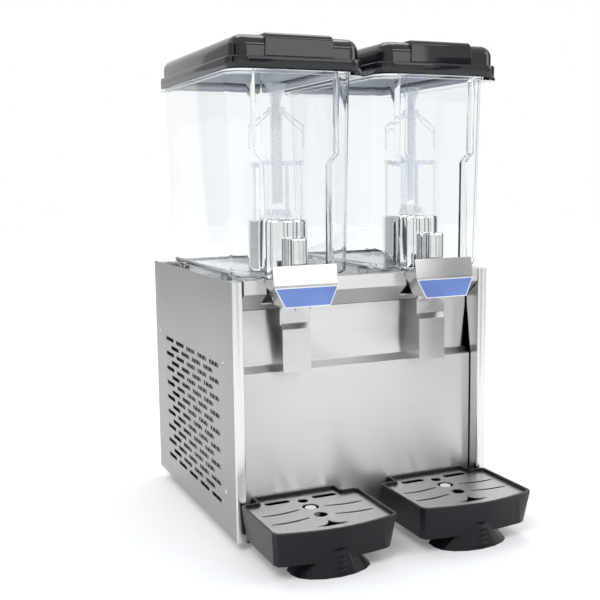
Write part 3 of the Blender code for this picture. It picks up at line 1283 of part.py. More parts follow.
def housing_plan(x, half, front, back):
    near, far = FRONT + front, FRONT + back
    return [(x - half, near), (x + half, near), (x + half, far), (x - half, far)]


def tap_housing(side, tag):
    """Folded steel cover: tall front plate and cheeks that taper to the toe."""
    x = side * UNIT_X
    cheek_share = (HOUSING_CHEEK_TOP - HOUSING_CREASE) / (HOUSING_TOP - HOUSING_CREASE)
    cheek_depth = HOUSING_CREASE_DEPTH + (HOUSING_TOP_DEPTH - HOUSING_CREASE_DEPTH) * cheek_share
    rows = [(HOUSING_FOOT, HOUSING_TOE_HALF, HOUSING_FOOT_DEPTH),
            (HOUSING_CREASE, HOUSING_HALF, HOUSING_CREASE_DEPTH),
            (HOUSING_CHEEK_TOP, HOUSING_HALF, cheek_depth), (HOUSING_TOP, HOUSING_HALF, HOUSING_TOP_DEPTH)]
    outer = [(z, housing_plan(x, half, depth, HOUSING_BACK)) for z, half, depth in rows]
    shell = loft("tap_housing_" + tag, outer)
    inner = [(z, housing_plan(x, half - SHEET, depth + SHEET, OVERRUN)) for z, half, depth in rows]
    inner[0] = (HOUSING_FOOT - GAP, inner[0][1])
    inner[-1] = (HOUSING_TOP + GAP, inner[-1][1])
    wide = HOUSING_HALF + OVERRUN
    upper = [(HOUSING_CHEEK_TOP, housing_plan(x, wide, cheek_depth + SHEET, OVERRUN)),
             (HOUSING_TOP + GAP * 2, housing_plan(x, wide, HOUSING_TOP_DEPTH + SHEET, OVERRUN))]
    cut(shell, loft("housing_inside", inner), loft("housing_upper", upper))
    return finish(shell, STEEL)


def plaque(side, tag):
    """Blue trapezoid plate on the housing's lower face."""
    x = side * UNIT_X
    slope = (HOUSING_FOOT_DEPTH - HOUSING_CREASE_DEPTH) / (HOUSING_FOOT - HOUSING_CREASE)
    rows = [(PLAQUE_FOOT, PLAQUE_HALF_FOOT), (PLAQUE_TOP, PLAQUE_HALF_TOP)]
    stations = []
    for z, half in rows:
        face = HOUSING_CREASE_DEPTH + slope * (z - HOUSING_CREASE) - GAP
        stations.append((z, housing_plan(x, half, face - PLAQUE_THICK, face)))
    return finish(loft("plaque_" + tag, stations), BLUE)


def lever(side, tag):
    """Bent push lever: pad, jog, upper plate with its slot, lifting lip and two pivot ears."""
    x = side * UNIT_X
    t = SHEET
    pad = [(PAD_DEPTH, PAD_FOOT), (PAD_DEPTH, PAD_TOP), (ARM_DEPTH, JOG_TOP),
           (ARM_DEPTH + t, JOG_TOP - LAP / 4), (PAD_DEPTH + t, PAD_TOP - LAP / 4), (PAD_DEPTH + t, PAD_FOOT)]
    plate = profile_bar("lever_" + tag, pad, x - PAD_HALF, x + PAD_HALF)
    upper = [(ARM_DEPTH - GAP / 3, JOG_TOP - LAP), (ARM_DEPTH - GAP / 3, ARM_PLATE_TOP - t),
             (LIP_FRONT, ARM_PLATE_TOP - t), (LIP_FRONT, ARM_PLATE_TOP),
             (ARM_DEPTH + t + GAP / 3, ARM_PLATE_TOP), (ARM_DEPTH + t + GAP / 3, JOG_TOP - LAP)]
    join(plate, profile_bar("lever_upper", upper, x - ARM_HALF, x + ARM_HALF))
    ear = [(ARM_DEPTH + GAP, EAR_LOW), (ARM_DEPTH + t, EAR_LOW), (ARM_DEPTH + t, ARM_PLATE_TOP + LAP),
           (PIN_DEPTH + LAP, EAR_TOP), (EAR_FRONT, EAR_TOP), (EAR_FRONT, EAR_FOOT),
           (LIP_FRONT, ARM_PLATE_TOP - LAP * 2)]
    for hand in (-1, 1):
        inner, outer = x + hand * (ARM_HALF - t), x + hand * (ARM_HALF - GAP / 3)
        join(plate, profile_bar("lever_ear", ear[::-1], min(inner, outer), max(inner, outer)))
    cut(plate, rod("pin_hole", (x, FRONT + PIN_DEPTH, PIN_Z), PIN_RADIUS + PIN_CLEAR, -ARM_HALF - OVERRUN,
                   ARM_HALF + OVERRUN, "X"),
        block("lever_slot", (x - SLOT_WIDTH / 2, FRONT + ARM_DEPTH - OVERRUN / 2, SLOT_FOOT),
              (x + SLOT_WIDTH / 2, FRONT + ARM_DEPTH + OVERRUN / 2, SLOT_TOP)))
    return finish(plate, STEEL, (x, FRONT + PIN_DEPTH, PIN_Z))


def lever_pin(side, tag):
    """Pivot pin between the housing's cheeks."""
    taper = (HOUSING_HALF - HOUSING_TOE_HALF) / (HOUSING_CREASE - HOUSING_FOOT)
    reach = HOUSING_TOE_HALF + taper * (PIN_Z - PIN_RADIUS - HOUSING_FOOT) - SHEET - GAP
    where = (side * UNIT_X, FRONT + PIN_DEPTH, PIN_Z)
    made = rod("lever_pin_" + tag, where, PIN_RADIUS, -reach, reach, "X")
    return finish(made, STEEL)


def tray_plan(x, half, neck, back, shoulder, corner, reach, rounding, notch):
    """Tray outline: narrow back, two shoulders, straight sides and a bowed front."""
    y = lambda depth: FRONT + depth
    right = [(x + neck, y(back)), (x + neck, y(shoulder + notch)), (x + neck + notch, y(shoulder)),
             (x + half - notch, y(shoulder)), (x + half, y(shoulder - notch))]
    bow = []
    for step in range(CORNER_STEPS + 2):
        share = step / (CORNER_STEPS + 1)
        depth = corner - rounding + (reach - corner + rounding) * math.sin(share * math.pi / 2)
        bow.append((half - rounding - (half - rounding) * share, depth))
    right.append((x + half, y(corner)))
    right.append((x + half - rounding * ROUND_NEAR_SHARE, y(corner - rounding * ROUND_FAR_SHARE)))
    right += [(x + across, y(depth)) for across, depth in bow]
    left = [(2 * x - across, depth) for across, depth in reversed(right[:-1])]
    return (right + left)[::-1]


def tray_section(x, inset, height):
    """Tray outline at a height, tapered towards the foot and drawn in by the inset."""
    level = min(max(height, TRAY_FOOT), TRAY_TOP)
    share = (TRAY_TOP - level) / (TRAY_TOP - TRAY_FOOT)
    half = TRAY_HALF + (TRAY_FOOT_HALF - TRAY_HALF) * share - inset
    tuck = TRAY_FOOT_IN * share
    back = TRAY_BACK - tuck * BACK_TUCK_SHARE - inset
    shoulder = TRAY_SHOULDER - tuck * SHOULDER_TUCK_SHARE - inset
    reach = -TRAY_REACH + tuck * FRONT_TUCK_SHARE + inset
    return tray_plan(x, half, TRAY_NECK - tuck / 2 - inset, back, shoulder, TRAY_CORNER + tuck + inset, reach,
                     TRAY_ROUND - inset / 2, TRAY_NOTCH_ROUND)


def tray_solid(name, x, inset, low, high):
    """The tray's tapered solid, drawn in by the inset for its inside."""
    return loft(name, [(low, tray_section(x, inset, low)), (high, tray_section(x, inset, high))])


def grip_plan(x, half, reach):
    """Half a lens in plan, bowed to the front."""
    y = FRONT + GRIP_DEPTH
    points = [(x - half, y + GRIP_ROOT)]
    for step in range(CORNER_STEPS * 2 + 1):
        turn = math.pi * step / (CORNER_STEPS * 2)
        points.append((x - half * math.cos(turn), y - reach * math.sin(turn)))
    return points + [(x + half, y + GRIP_ROOT)]


def rib_grooves(x):
    """Cutters that leave the grip's ribs."""
    grooves = []
    for index in range(RIB_GROOVES):
        height = RIB_FOOT + index * RIB_PITCH
        face = GRIP_DEPTH - GRIP_REACH + (GRIP_REACH - GRIP_TOP_REACH) * height / GRIP_TOP
        grooves.append(block("rib_groove", (x - RIB_HALF, FRONT + face - OVERRUN, height),
                             (x + RIB_HALF, FRONT + face + RIB_DEEP, height + RIB_CUT)))
    return grooves


def drip_tray(side, tag):
    """Tapered tray, ledge for its grille and the ribbed grip under the front."""
    x = side * UNIT_X
    tray = tray_solid("drip_tray_" + tag, x, 0, TRAY_FOOT, TRAY_TOP)
    grip = loft("tray_grip", [(0, grip_plan(x, GRIP_HALF, GRIP_REACH)),
                              (GRIP_TOP, grip_plan(x, GRIP_TOP_HALF, GRIP_TOP_REACH))])
    cut(grip, *rib_grooves(x))
    join(tray, grip)
    heel = block("tray_heel", (x - TRAY_NECK + TRAY_FOOT_IN, FRONT + TRAY_SHOULDER - TRAY_FOOT_IN * 2, 0),
                 (x + TRAY_NECK - TRAY_FOOT_IN, FRONT + TRAY_SHOULDER - TRAY_FOOT_IN, TRAY_FLOOR - LAP))
    join(tray, heel)
    cut(tray, tray_solid("tray_inside", x, TRAY_WALL + TRAY_LEDGE_WIDTH / 2, TRAY_FLOOR, TRAY_TOP + GAP),
        tray_solid("tray_rebate", x, TRAY_WALL, TRAY_LEDGE, TRAY_TOP + OVERRUN))
    return finish(tray, CHARCOAL, (x, FRONT + LOWER_DEPTH, 0))


def arc_slot(x, hand, depth):
    """A bowed slot, deepest at its middle."""
    count = CORNER_STEPS + 1
    upper, lower = [], []
    for step in range(count + 1):
        share = step / count
        across = x + hand * (ARC_SLOT_IN + (ARC_SLOT_OUT - ARC_SLOT_IN) * share)
        sag = depth - ARC_SLOT_SAG * math.sin(share * math.pi * SLOT_SAG_SHARE)
        thin = ARC_SLOT_HALF * (1 - SLOT_TAPER_SHARE * abs(2 * share - 1) ** 3)
        upper.append((across, FRONT + sag + thin))
        lower.append((across, FRONT + sag - thin))
    return upper + lower[::-1]


def grille(side, tag):
    """Drip plate with its slots, holes and fin-shaped cut-out."""
    x = side * UNIT_X
    loops = [tray_section(x, TRAY_WALL + GRILLE_CLEAR, GRILLE_FOOT)]
    for hand in (-1, 1):
        middle = x + hand * (REAR_SLOT_IN + REAR_SLOT_OUT) / 2
        loops.append(slot_loop(middle, FRONT + REAR_SLOT_DEPTH, REAR_SLOT_OUT - REAR_SLOT_IN,
                               REAR_SLOT_HALF * 2))
        for depth in (ARC_ONE_DEPTH, ARC_TWO_DEPTH):
            loops.append(arc_slot(x, hand, depth))
    for depth, radius in ((HOLE_ONE_DEPTH, HOLE_ONE_RADIUS), (HOLE_TWO_DEPTH, HOLE_TWO_RADIUS),
                          (HOLE_THREE_DEPTH, HOLE_THREE_RADIUS)):
        loops.append(circle((x, FRONT + depth), radius))
    fin = [(-FIN_HALF, FIN_DEPTH), (-FIN_WAIST, FIN_SHOULDER), (0, FIN_TOP), (FIN_WAIST, FIN_SHOULDER),
           (FIN_HALF, FIN_DEPTH), (FIN_WAIST * 2, FIN_FOOT), (-FIN_WAIST * 2, FIN_FOOT)]
    loops.append([(x + across, FRONT + depth) for across, depth in fin])
    made = outline_solid("grille_" + tag, loops, GRILLE_THICK, flat_frame(GRILLE_FOOT + GRILLE_THICK / 2))
    return finish(made, STEEL, (x, FRONT + HOLE_TWO_DEPTH, GRILLE_FOOT))


def tray_float(side, tag):
    """Level float whose cap rises through the grille's middle hole."""
    profile = [(0, FLOAT_TOP), (FLOAT_RADIUS, FLOAT_TOP), (FLOAT_RADIUS, FLOAT_BELLY_TOP),
               (FLOAT_BELLY, FLOAT_BELLY_TOP - LAP), (FLOAT_BELLY, FLOAT_BELLY_FOOT + LAP),
               (FLOAT_STEM, FLOAT_BELLY_FOOT), (FLOAT_STEM, FLOAT_FOOT), (0, FLOAT_FOOT)]
    where = (side * UNIT_X, FRONT + HOLE_TWO_DEPTH, 0)
    body = turned("tray_float_" + tag, profile, where, SMALL_TURN_STEPS)
    return finish(body, WHITE, (where[0], where[1], FLOAT_FOOT))


def build_unit(side, tag):
    drum(side, tag)
    gasket(side, tag)
    tank(side, tag)
    lid(side, tag)
    spray_tower(side, tag)
    impeller(side, tag)
    drive_magnet(side, tag)
    pump_motor(side, tag)
    valve_sleeve(side, tag)
    plunger(side, tag)
    valve_spring(side, tag)
    nozzle(side, tag)
    tap_housing(side, tag)
    plaque(side, tag)
    lever(side, tag)
    lever_pin(side, tag)
    drip_tray(side, tag)
    grille(side, tag)
    tray_float(side, tag)


def build():
    side_panel("side_panel_left", -1)
    side_panel("side_panel_right", 1)
    front_panel()
    top_deck()
    base_pan()
    rear_panel()
    for name, side, depth in (("foot_front_left", -1, FOOT_FRONT), ("foot_front_right", 1, FOOT_FRONT),
                              ("foot_rear_left", -1, FOOT_BACK), ("foot_rear_right", 1, FOOT_BACK)):
        foot(name, side, depth)
    for index, name in enumerate(("switch_cooling", "switch_pump_left", "switch_pump_right")):
        rocker(name, index)
    thermostat_knob()
    cord_gland()
    compressor()
    condenser()
    condenser_fan()
    fan_motor()
    filter_drier()
    discharge_pipe()
    build_unit(-1, "left")
    build_unit(1, "right")


build()
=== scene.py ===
# %% [markdown]
# # A twin-tank juice dispenser
# The real machine is a steel body that chills two clear tanks. Each tank has a black
# lid, a steel cooling drum, a clear spray tower and a push tap over a drip tray.
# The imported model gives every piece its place. Here each piece gets the rounded edges,
# moulded shapes and finishes that the eye expects, in the same coordinates.

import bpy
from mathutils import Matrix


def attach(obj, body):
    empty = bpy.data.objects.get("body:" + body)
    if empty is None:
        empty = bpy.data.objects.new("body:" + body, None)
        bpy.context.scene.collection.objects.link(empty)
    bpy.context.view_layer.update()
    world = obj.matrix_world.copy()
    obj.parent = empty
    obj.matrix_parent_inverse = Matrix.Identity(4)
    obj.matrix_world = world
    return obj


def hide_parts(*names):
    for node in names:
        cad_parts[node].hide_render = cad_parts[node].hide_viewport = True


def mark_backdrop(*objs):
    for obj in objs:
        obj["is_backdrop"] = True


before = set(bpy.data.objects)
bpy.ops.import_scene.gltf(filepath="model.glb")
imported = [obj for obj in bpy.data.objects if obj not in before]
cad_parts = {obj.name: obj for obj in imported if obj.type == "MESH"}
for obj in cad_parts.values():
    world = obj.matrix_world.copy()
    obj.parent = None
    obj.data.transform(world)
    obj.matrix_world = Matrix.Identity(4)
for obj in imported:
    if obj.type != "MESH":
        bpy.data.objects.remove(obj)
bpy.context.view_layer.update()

# %% Libraries and the two sides
import math

import bmesh
import bpy
from mathutils import Matrix, Vector

scene = bpy.context.scene
FRONT = -0.136
UNIT_X = 0.115
UNITS = (("left", -UNIT_X), ("right", UNIT_X))


def y_at(depth):
    """World y of a depth measured back from the columns' front."""
    return FRONT + depth


print("front of the columns at y =", FRONT)

# %% [markdown]
# ## Camera
# The photograph was taken from the front left, a little above the counter, with a mild
# telephoto lens. The camera's place was solved from the corners of the steel body, so the
# matrix is written from a yaw, a pitch and a small roll instead of being aimed by eye.

# %% Camera
camera_data = bpy.data.cameras.new("portrait")
camera = bpy.data.objects.new("portrait", camera_data)
scene.collection.objects.link(camera)
scene.camera = camera
yaw, pitch, roll = (math.radians(angle) for angle in (24.137, -7.459, -0.62))
forward = Vector((math.sin(yaw) * math.cos(pitch), math.cos(yaw) * math.cos(pitch), math.sin(pitch)))
level = Vector((math.cos(yaw), -math.sin(yaw), 0))
upright = level.cross(forward)
across = math.cos(roll) * level + math.sin(roll) * upright
up = math.cos(roll) * upright - math.sin(roll) * level
turn = Matrix((across, up, -forward)).transposed().to_4x4()
camera.matrix_world = Matrix.Translation((-0.6612, -1.4164, 0.5483)) @ turn
camera_data.sensor_width = 36
camera_data.lens = 57.68
camera_data.shift_x = -0.0239
camera_data.shift_y = 0.0013
camera_data.clip_end = 60
scene.view_settings.view_transform = "Standard"
print("lens", camera_data.lens, "mm")

# %% [markdown]
# ## Floor, daylight and studio cards
# A product table is a pale sweep under soft light. The world is white to the camera, to
# mirrors and through glass, and a calmer grey for the light that falls on matt surfaces.
# Polished steel shows only what stands around it, so grey cards and soft boxes stand
# outside the picture. Only reflections and clear walls show them: they draw the dark
# bands of a real studio, and the pale sheen on the lids' fronts.

# %% World
world = bpy.data.worlds.new("studio")
scene.world = world
world.use_nodes = True
sky = world.node_tree
sky.nodes.clear()
sky_out = sky.nodes.new("ShaderNodeOutputWorld")
sky_mix = sky.nodes.new("ShaderNodeMixShader")
sky_light = sky.nodes.new("ShaderNodeBackground")
sky_white = sky.nodes.new("ShaderNodeBackground")
sky_path = sky.nodes.new("ShaderNodeLightPath")
sky_light.inputs["Color"].default_value = (0.94, 0.97, 1.0, 1)
sky_light.inputs["Strength"].default_value = 0.62
sky_white.inputs["Color"].default_value = (1, 1, 1, 1)
sky_seen = sky.nodes.new("ShaderNodeMath")
sky_seen.operation = "MAXIMUM"
sky_glass = sky.nodes.new("ShaderNodeMath")
sky_glass.operation = "MAXIMUM"
sky.links.new(sky_path.outputs["Is Camera Ray"], sky_seen.inputs[0])
sky.links.new(sky_path.outputs["Is Glossy Ray"], sky_seen.inputs[1])
sky.links.new(sky_seen.outputs[0], sky_glass.inputs[0])
sky.links.new(sky_path.outputs["Is Transmission Ray"], sky_glass.inputs[1])
sky.links.new(sky_glass.outputs[0], sky_mix.inputs["Fac"])
sky.links.new(sky_light.outputs[0], sky_mix.inputs[1])
sky.links.new(sky_white.outputs[0], sky_mix.inputs[2])
sky.links.new(sky_mix.outputs[0], sky_out.inputs["Surface"])
print("world nodes", len(sky.nodes))

# %% Floor
FLOOR_LIFT = (0.16, 0.46)
floor_mesh = bpy.data.meshes.new("floor")
floor_shape = bmesh.new()
bmesh.ops.create_circle(floor_shape, cap_ends=True, radius=9, segments=96)
floor_shape.to_mesh(floor_mesh)
floor_shape.free()
floor = bpy.data.objects.new("floor", floor_mesh)
scene.collection.objects.link(floor)
floor_look = bpy.data.materials.new("pale_floor")
floor_look.use_nodes = True
floor_tree = floor_look.node_tree
floor_shader = floor_tree.nodes["Principled BSDF"]
floor_grain = floor_tree.nodes.new("ShaderNodeTexNoise")
floor_grain.inputs["Scale"].default_value = 3
floor_tint = floor_tree.nodes.new("ShaderNodeMix")
floor_tint.data_type = "RGBA"
floor_tint.inputs["A"].default_value = (0.90, 0.905, 0.915, 1)
floor_tint.inputs["B"].default_value = (0.92, 0.925, 0.935, 1)
floor_tree.links.new(floor_grain.outputs["Fac"], floor_tint.inputs["Factor"])
floor_tree.links.new(floor_tint.outputs["Result"], floor_shader.inputs["Base Color"])
floor_shader.inputs["Roughness"].default_value = 0.6
floor_shader.inputs["Specular IOR Level"].default_value = 0.2
floor_place = floor_tree.nodes.new("ShaderNodeTexCoord")
floor_reach = floor_tree.nodes.new("ShaderNodeVectorMath")
floor_reach.operation = "LENGTH"
floor_fade = floor_tree.nodes.new("ShaderNodeMapRange")
for socket, value in zip(floor_fade.inputs[1:5], (0.5, 3.0, FLOOR_LIFT[0], FLOOR_LIFT[1])):
    socket.default_value = value
floor_path = floor_tree.nodes.new("ShaderNodeLightPath")
floor_seen = floor_tree.nodes.new("ShaderNodeMath")
floor_seen.operation = "SUBTRACT"
floor_seen.inputs[0].default_value = 1.0
floor_lift = floor_tree.nodes.new("ShaderNodeMath")
floor_lift.operation = "MULTIPLY"
floor_tree.links.new(floor_place.outputs["Object"], floor_reach.inputs[0])
floor_tree.links.new(floor_reach.outputs["Value"], floor_fade.inputs["Value"])
floor_tree.links.new(floor_path.outputs["Is Diffuse Ray"], floor_seen.inputs[1])
floor_tree.links.new(floor_fade.outputs["Result"], floor_lift.inputs[0])
floor_tree.links.new(floor_seen.outputs[0], floor_lift.inputs[1])
floor_tree.links.new(floor_lift.outputs[0], floor_shader.inputs["Emission Strength"])
floor_shader.inputs["Emission Color"].default_value = (1, 1, 1, 1)
floor_mesh.materials.append(floor_look)
print("floor radius 9 m")


# %% Lamps
def soft_lamp(name, at, aim, width, height, power):
    """A rectangular soft lamp that looks at a point."""
    data = bpy.data.lights.new(name, "AREA")
    data.shape = "RECTANGLE"
    data.size, data.size_y, data.energy = width, height, power
    lamp = bpy.data.objects.new(name, data)
    lamp.rotation_mode = "QUATERNION"
    lamp.location = at
    lamp.rotation_quaternion = (Vector(aim) - Vector(at)).to_track_quat("-Z", "Y")
    scene.collection.objects.link(lamp)
    return lamp


key_lamp = soft_lamp("key_lamp", (-1.5, -1.6, 2.3), (0, 0, 0.3), 1.3, 1.3, 34)
key_lamp.visible_glossy = False
soft_lamp("fill_lamp", (2.1, -1.0, 1.5), (0, 0, 0.3), 0.9, 1.6, 12)
soft_lamp("top_lamp", (0.2, 0.6, 2.6), (0, 0, 0.4), 1.8, 1.2, 26)
print("three soft lamps")


# %% Cards
def studio_card(name, at, aim, width, height, glow_strength):
    """An upright card or soft box that only reflections and refractions see."""
    mesh = bpy.data.meshes.new(name)
    shape = bmesh.new()
    bmesh.ops.create_grid(shape, x_segments=1, y_segments=1, size=0.5)
    bmesh.ops.scale(shape, vec=(width, height, 1), verts=shape.verts)
    facing = (Vector(aim) - Vector(at)).to_track_quat("Z", "Y").to_matrix().to_4x4()
    bmesh.ops.transform(shape, matrix=Matrix.Translation(at) @ facing, verts=shape.verts)
    shape.to_mesh(mesh)
    shape.free()
    card = bpy.data.objects.new(name, mesh)
    look = bpy.data.materials.new(name)
    look.use_nodes = True
    look.node_tree.nodes.clear()
    glow = look.node_tree.nodes.new("ShaderNodeEmission")
    glow.inputs["Color"].default_value = (0.97, 0.985, 1.0, 1)
    glow.inputs["Strength"].default_value = glow_strength
    out = look.node_tree.nodes.new("ShaderNodeOutputMaterial")
    look.node_tree.links.new(glow.outputs[0], out.inputs["Surface"])
    mesh.materials.append(look)
    scene.collection.objects.link(card)
    for ray in ("camera", "diffuse", "volume_scatter", "shadow"):
        setattr(card, "visible_" + ray, False)
    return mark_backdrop(card)


CARDS = (("soft_box_front", (0.72, -2.20, 1.14), 1.05, 0.50, 3.1),
         ("soft_box_high", (0.60, -1.70, 1.75), 1.2, 0.16, 9.0),
         ("soft_box_side", (-1.7, 0.9, 1.9), 1.2, 0.20, 2.6),
         ("card_back_left", (-1.9, 1.5, 0.8), 2.6, 2.0, 0.55),
         ("card_front_a", (0.80, -1.20, 0.4), 0.10, 1.0, 0.20),
         ("card_front_b", (1.30, -1.10, 0.4), 0.20, 1.0, 0.30),
         ("card_front_c", (0.35, -1.75, 0.4), 0.14, 1.0, 0.30),
         ("card_left_a", (-1.9, -0.55, 0.6), 0.60, 1.8, 0.03),
         ("card_left_b", (-1.7, -1.35, 0.6), 0.16, 1.8, 0.06),
         ("card_right_a", (1.9, 0.10, 0.6), 0.80, 1.8, 0.18),
         ("card_near", (-0.05, -2.3, 0.5), 0.10, 1.2, 0.05))
for name, at, width, height, strength in CARDS:
    studio_card(name, at, (0, 0, 0.5), width, height, strength)
print(len(CARDS), "cards")


# %% [markdown]
# ## Effects that several finishes share
# Every surface of a used machine carries the same few things: a grain from how it was
# made, a film from hands, dust where it lies flat, and edges that rub bright. Each one is
# a node group, built once and placed in the materials with its own numbers. A group only
# gives masks and heights that vary over the surface; the shader stays in the material.

# %% Helper for node groups
def effect(name, inputs, outputs):
    """An empty shader group with named sockets, and its two end nodes."""
    tree = bpy.data.node_groups.new(name, "ShaderNodeTree")
    for label, kind, value in inputs:
        socket = tree.interface.new_socket(label, in_out="INPUT", socket_type="NodeSocket" + kind)
        socket.default_value = value
    for label in outputs:
        tree.interface.new_socket(label, in_out="OUTPUT", socket_type="NodeSocketFloat")
    return tree, tree.nodes.new("NodeGroupInput"), tree.nodes.new("NodeGroupOutput")


def wire(tree, socket, value):
    """Links an output, or writes a plain value, into a socket."""
    if isinstance(value, bpy.types.NodeSocket):
        tree.links.new(value, socket)
    else:
        socket.default_value = value


def calc(tree, operation, *values):
    """A Math node on the given values, clamped to nothing."""
    node = tree.nodes.new("ShaderNodeMath")
    node.operation = operation
    for socket, value in zip(node.inputs, values):
        wire(tree, socket, value)
    return node.outputs[0]


def remap(tree, value, low, high, to_low=0.0, to_high=1.0):
    """A clamped Map Range."""
    node = tree.nodes.new("ShaderNodeMapRange")
    for socket, given in zip(node.inputs, (value, low, high, to_low, to_high)):
        wire(tree, socket, given)
    return node.outputs["Result"]


def noise(tree, vector, scale, detail=2.0, roughness=0.5):
    """A noise texture's value."""
    node = tree.nodes.new("ShaderNodeTexNoise")
    wire(tree, node.inputs["Vector"], vector)
    wire(tree, node.inputs["Scale"], scale)
    node.inputs["Detail"].default_value = detail
    node.inputs["Roughness"].default_value = roughness
    return node.outputs["Fac"]


def stretched(tree, vector, by):
    """A vector multiplied axis by axis."""
    node = tree.nodes.new("ShaderNodeVectorMath")
    node.operation = "MULTIPLY"
    wire(tree, node.inputs[0], vector)
    wire(tree, node.inputs[1], by)
    return node.outputs[0]


print("helpers ready")

# %% [markdown]
# ### Brushed grain
# A belt draws long fine lines along the sheet. Noise stretched hard along one axis gives
# them; a second, slower noise gives soft patches of tone, which are partly random and
# partly a painted reflection of the studio's soft bands.

# %% Group: brushed grain
grain_group, given, result = effect("brushed grain", (
    ("Vector", "Vector", (0, 0, 0)), ("Stretch", "Vector", (12, 900, 900)),
    ("Patch", "Float", 7.0)), ("Line", "Patch"))
drawn_out = stretched(grain_group, given.outputs["Vector"], given.outputs["Stretch"])
fine_line = noise(grain_group, drawn_out, 1.0, 3.0, 0.6)
long_line = noise(grain_group, drawn_out, 0.31, 1.0)
both_lines = calc(grain_group, "ADD", calc(grain_group, "MULTIPLY", fine_line, 0.6),
                  calc(grain_group, "MULTIPLY", long_line, 0.4))
wire(grain_group, result.inputs["Line"], both_lines)
# The soft patches are partly random tone and partly painted reflection: soft studio bands put into the
# colour.
patch_and_painted_sheen = noise(grain_group, given.outputs["Vector"], given.outputs["Patch"], 2.0)
wire(grain_group, result.inputs["Patch"], patch_and_painted_sheen)
print(grain_group.name, len(grain_group.nodes), "nodes")

# %% [markdown]
# ### Handling film, dust and worn edges
# Hands leave cloudy patches with soft borders. Dust settles on faces that look up.
# Edges rub brighter: the surface's pointiness is high along them.

# %% Groups: film, dust, worn edge
film_group, given, result = effect("handling film", (
    ("Vector", "Vector", (0, 0, 0)), ("Scale", "Float", 18.0), ("Cover", "Float", 0.5)), ("Mask",))
cloud = noise(film_group, given.outputs["Vector"], given.outputs["Scale"], 4.0, 0.6)
edge = calc(film_group, "SUBTRACT", 1.0, given.outputs["Cover"])
border = calc(film_group, "MULTIPLY", edge, 0.7)
wire(film_group, result.inputs["Mask"], remap(film_group, cloud, border, 0.75))
dust_group, given, result = effect("settled dust", (
    ("Vector", "Vector", (0, 0, 0)), ("Scale", "Float", 60.0), ("Amount", "Float", 0.5)), ("Mask",))
geometry = dust_group.nodes.new("ShaderNodeNewGeometry")
facing = dust_group.nodes.new("ShaderNodeSeparateXYZ")
wire(dust_group, facing.inputs[0], geometry.outputs["Normal"])
flat = remap(dust_group, facing.outputs["Z"], 0.5, 1.0)
speckle = noise(dust_group, given.outputs["Vector"], given.outputs["Scale"], 5.0, 0.7)
lying = calc(dust_group, "MULTIPLY", flat, remap(dust_group, speckle, 0.35, 0.8))
wire(dust_group, result.inputs["Mask"], calc(dust_group, "MULTIPLY", lying, given.outputs["Amount"]))
wear_group, given, result = effect("worn edge", (
    ("Vector", "Vector", (0, 0, 0)), ("Start", "Float", 0.52), ("Breakup", "Float", 90.0)), ("Mask",))
shape_of = wear_group.nodes.new("ShaderNodeNewGeometry")
ridge = remap(wear_group, shape_of.outputs["Pointiness"], given.outputs["Start"], 0.62)
crumble = noise(wear_group, given.outputs["Vector"], given.outputs["Breakup"], 3.0)
chips = remap(wear_group, crumble, 0.35, 0.65)
wire(wear_group, result.inputs["Mask"], calc(wear_group, "MULTIPLY", ridge, chips))
print("film, dust and edge groups")

# %% [markdown]
# ### Moulded skin
# A plastic moulding copies its tool: a fine grain of rounded cells, and slow waves where
# the wall cooled unevenly.

# %% Group: moulded skin
skin_group, given, result = effect("moulded skin", (
    ("Vector", "Vector", (0, 0, 0)), ("Scale", "Float", 900.0), ("Wave", "Float", 14.0)), ("Cell", "Wave"))
cells = skin_group.nodes.new("ShaderNodeTexVoronoi")
cells.feature = "SMOOTH_F1"
wire(skin_group, cells.inputs["Vector"], given.outputs["Vector"])
wire(skin_group, cells.inputs["Scale"], given.outputs["Scale"])
wire(skin_group, result.inputs["Cell"], cells.outputs["Distance"])
slow_wave = noise(skin_group, given.outputs["Vector"], given.outputs["Wave"], 2.0)
wire(skin_group, result.inputs["Wave"], slow_wave)
print("moulded skin group")


# %% [markdown]
# ## Finishes
# Two recipes cover most of the machine. A metal varies its roughness with its grain and
# gets a fingerprint film. A plastic has a moulded skin, dust and pale rubbed edges.

# %% Recipe helpers
def new_look(name, colour, roughness, metallic=0.0):
    """A material with its Principled shader and an Object coordinate to read."""
    look = bpy.data.materials.new(name)
    look.use_nodes = True
    tree = look.node_tree
    shader = tree.nodes["Principled BSDF"]
    shader.inputs["Base Color"].default_value = (*colour, 1)
    shader.inputs["Roughness"].default_value = roughness
    shader.inputs["Metallic"].default_value = metallic
    place = tree.nodes.new("ShaderNodeTexCoord").outputs["Object"]
    look.diffuse_color = (*colour, 1)
    return look, tree, shader, place


def use(tree, group, place, **values):
    """Places an effect group and sets its inputs."""
    node = tree.nodes.new("ShaderNodeGroup")
    node.node_tree = group
    tree.links.new(place, node.inputs["Vector"])
    for label, value in values.items():
        wire(tree, node.inputs[label], value)
    return node.outputs


def blend_colour(tree, share, first, second):
    """A colour between two, by a mask."""
    node = tree.nodes.new("ShaderNodeMix")
    node.data_type = "RGBA"
    wire(tree, node.inputs["Factor"], share)
    for label, value in (("A", first), ("B", second)):
        wire(tree, node.inputs[label], value if isinstance(value, bpy.types.NodeSocket) else (*value, 1))
    return node.outputs["Result"]


def bump(tree, shader, height, strength, distance):
    """Feeds a height to the shader's normal."""
    node = tree.nodes.new("ShaderNodeBump")
    node.inputs["Strength"].default_value = strength
    node.inputs["Distance"].default_value = distance
    tree.links.new(height, node.inputs["Height"])
    tree.links.new(node.outputs["Normal"], shader.inputs["Normal"])


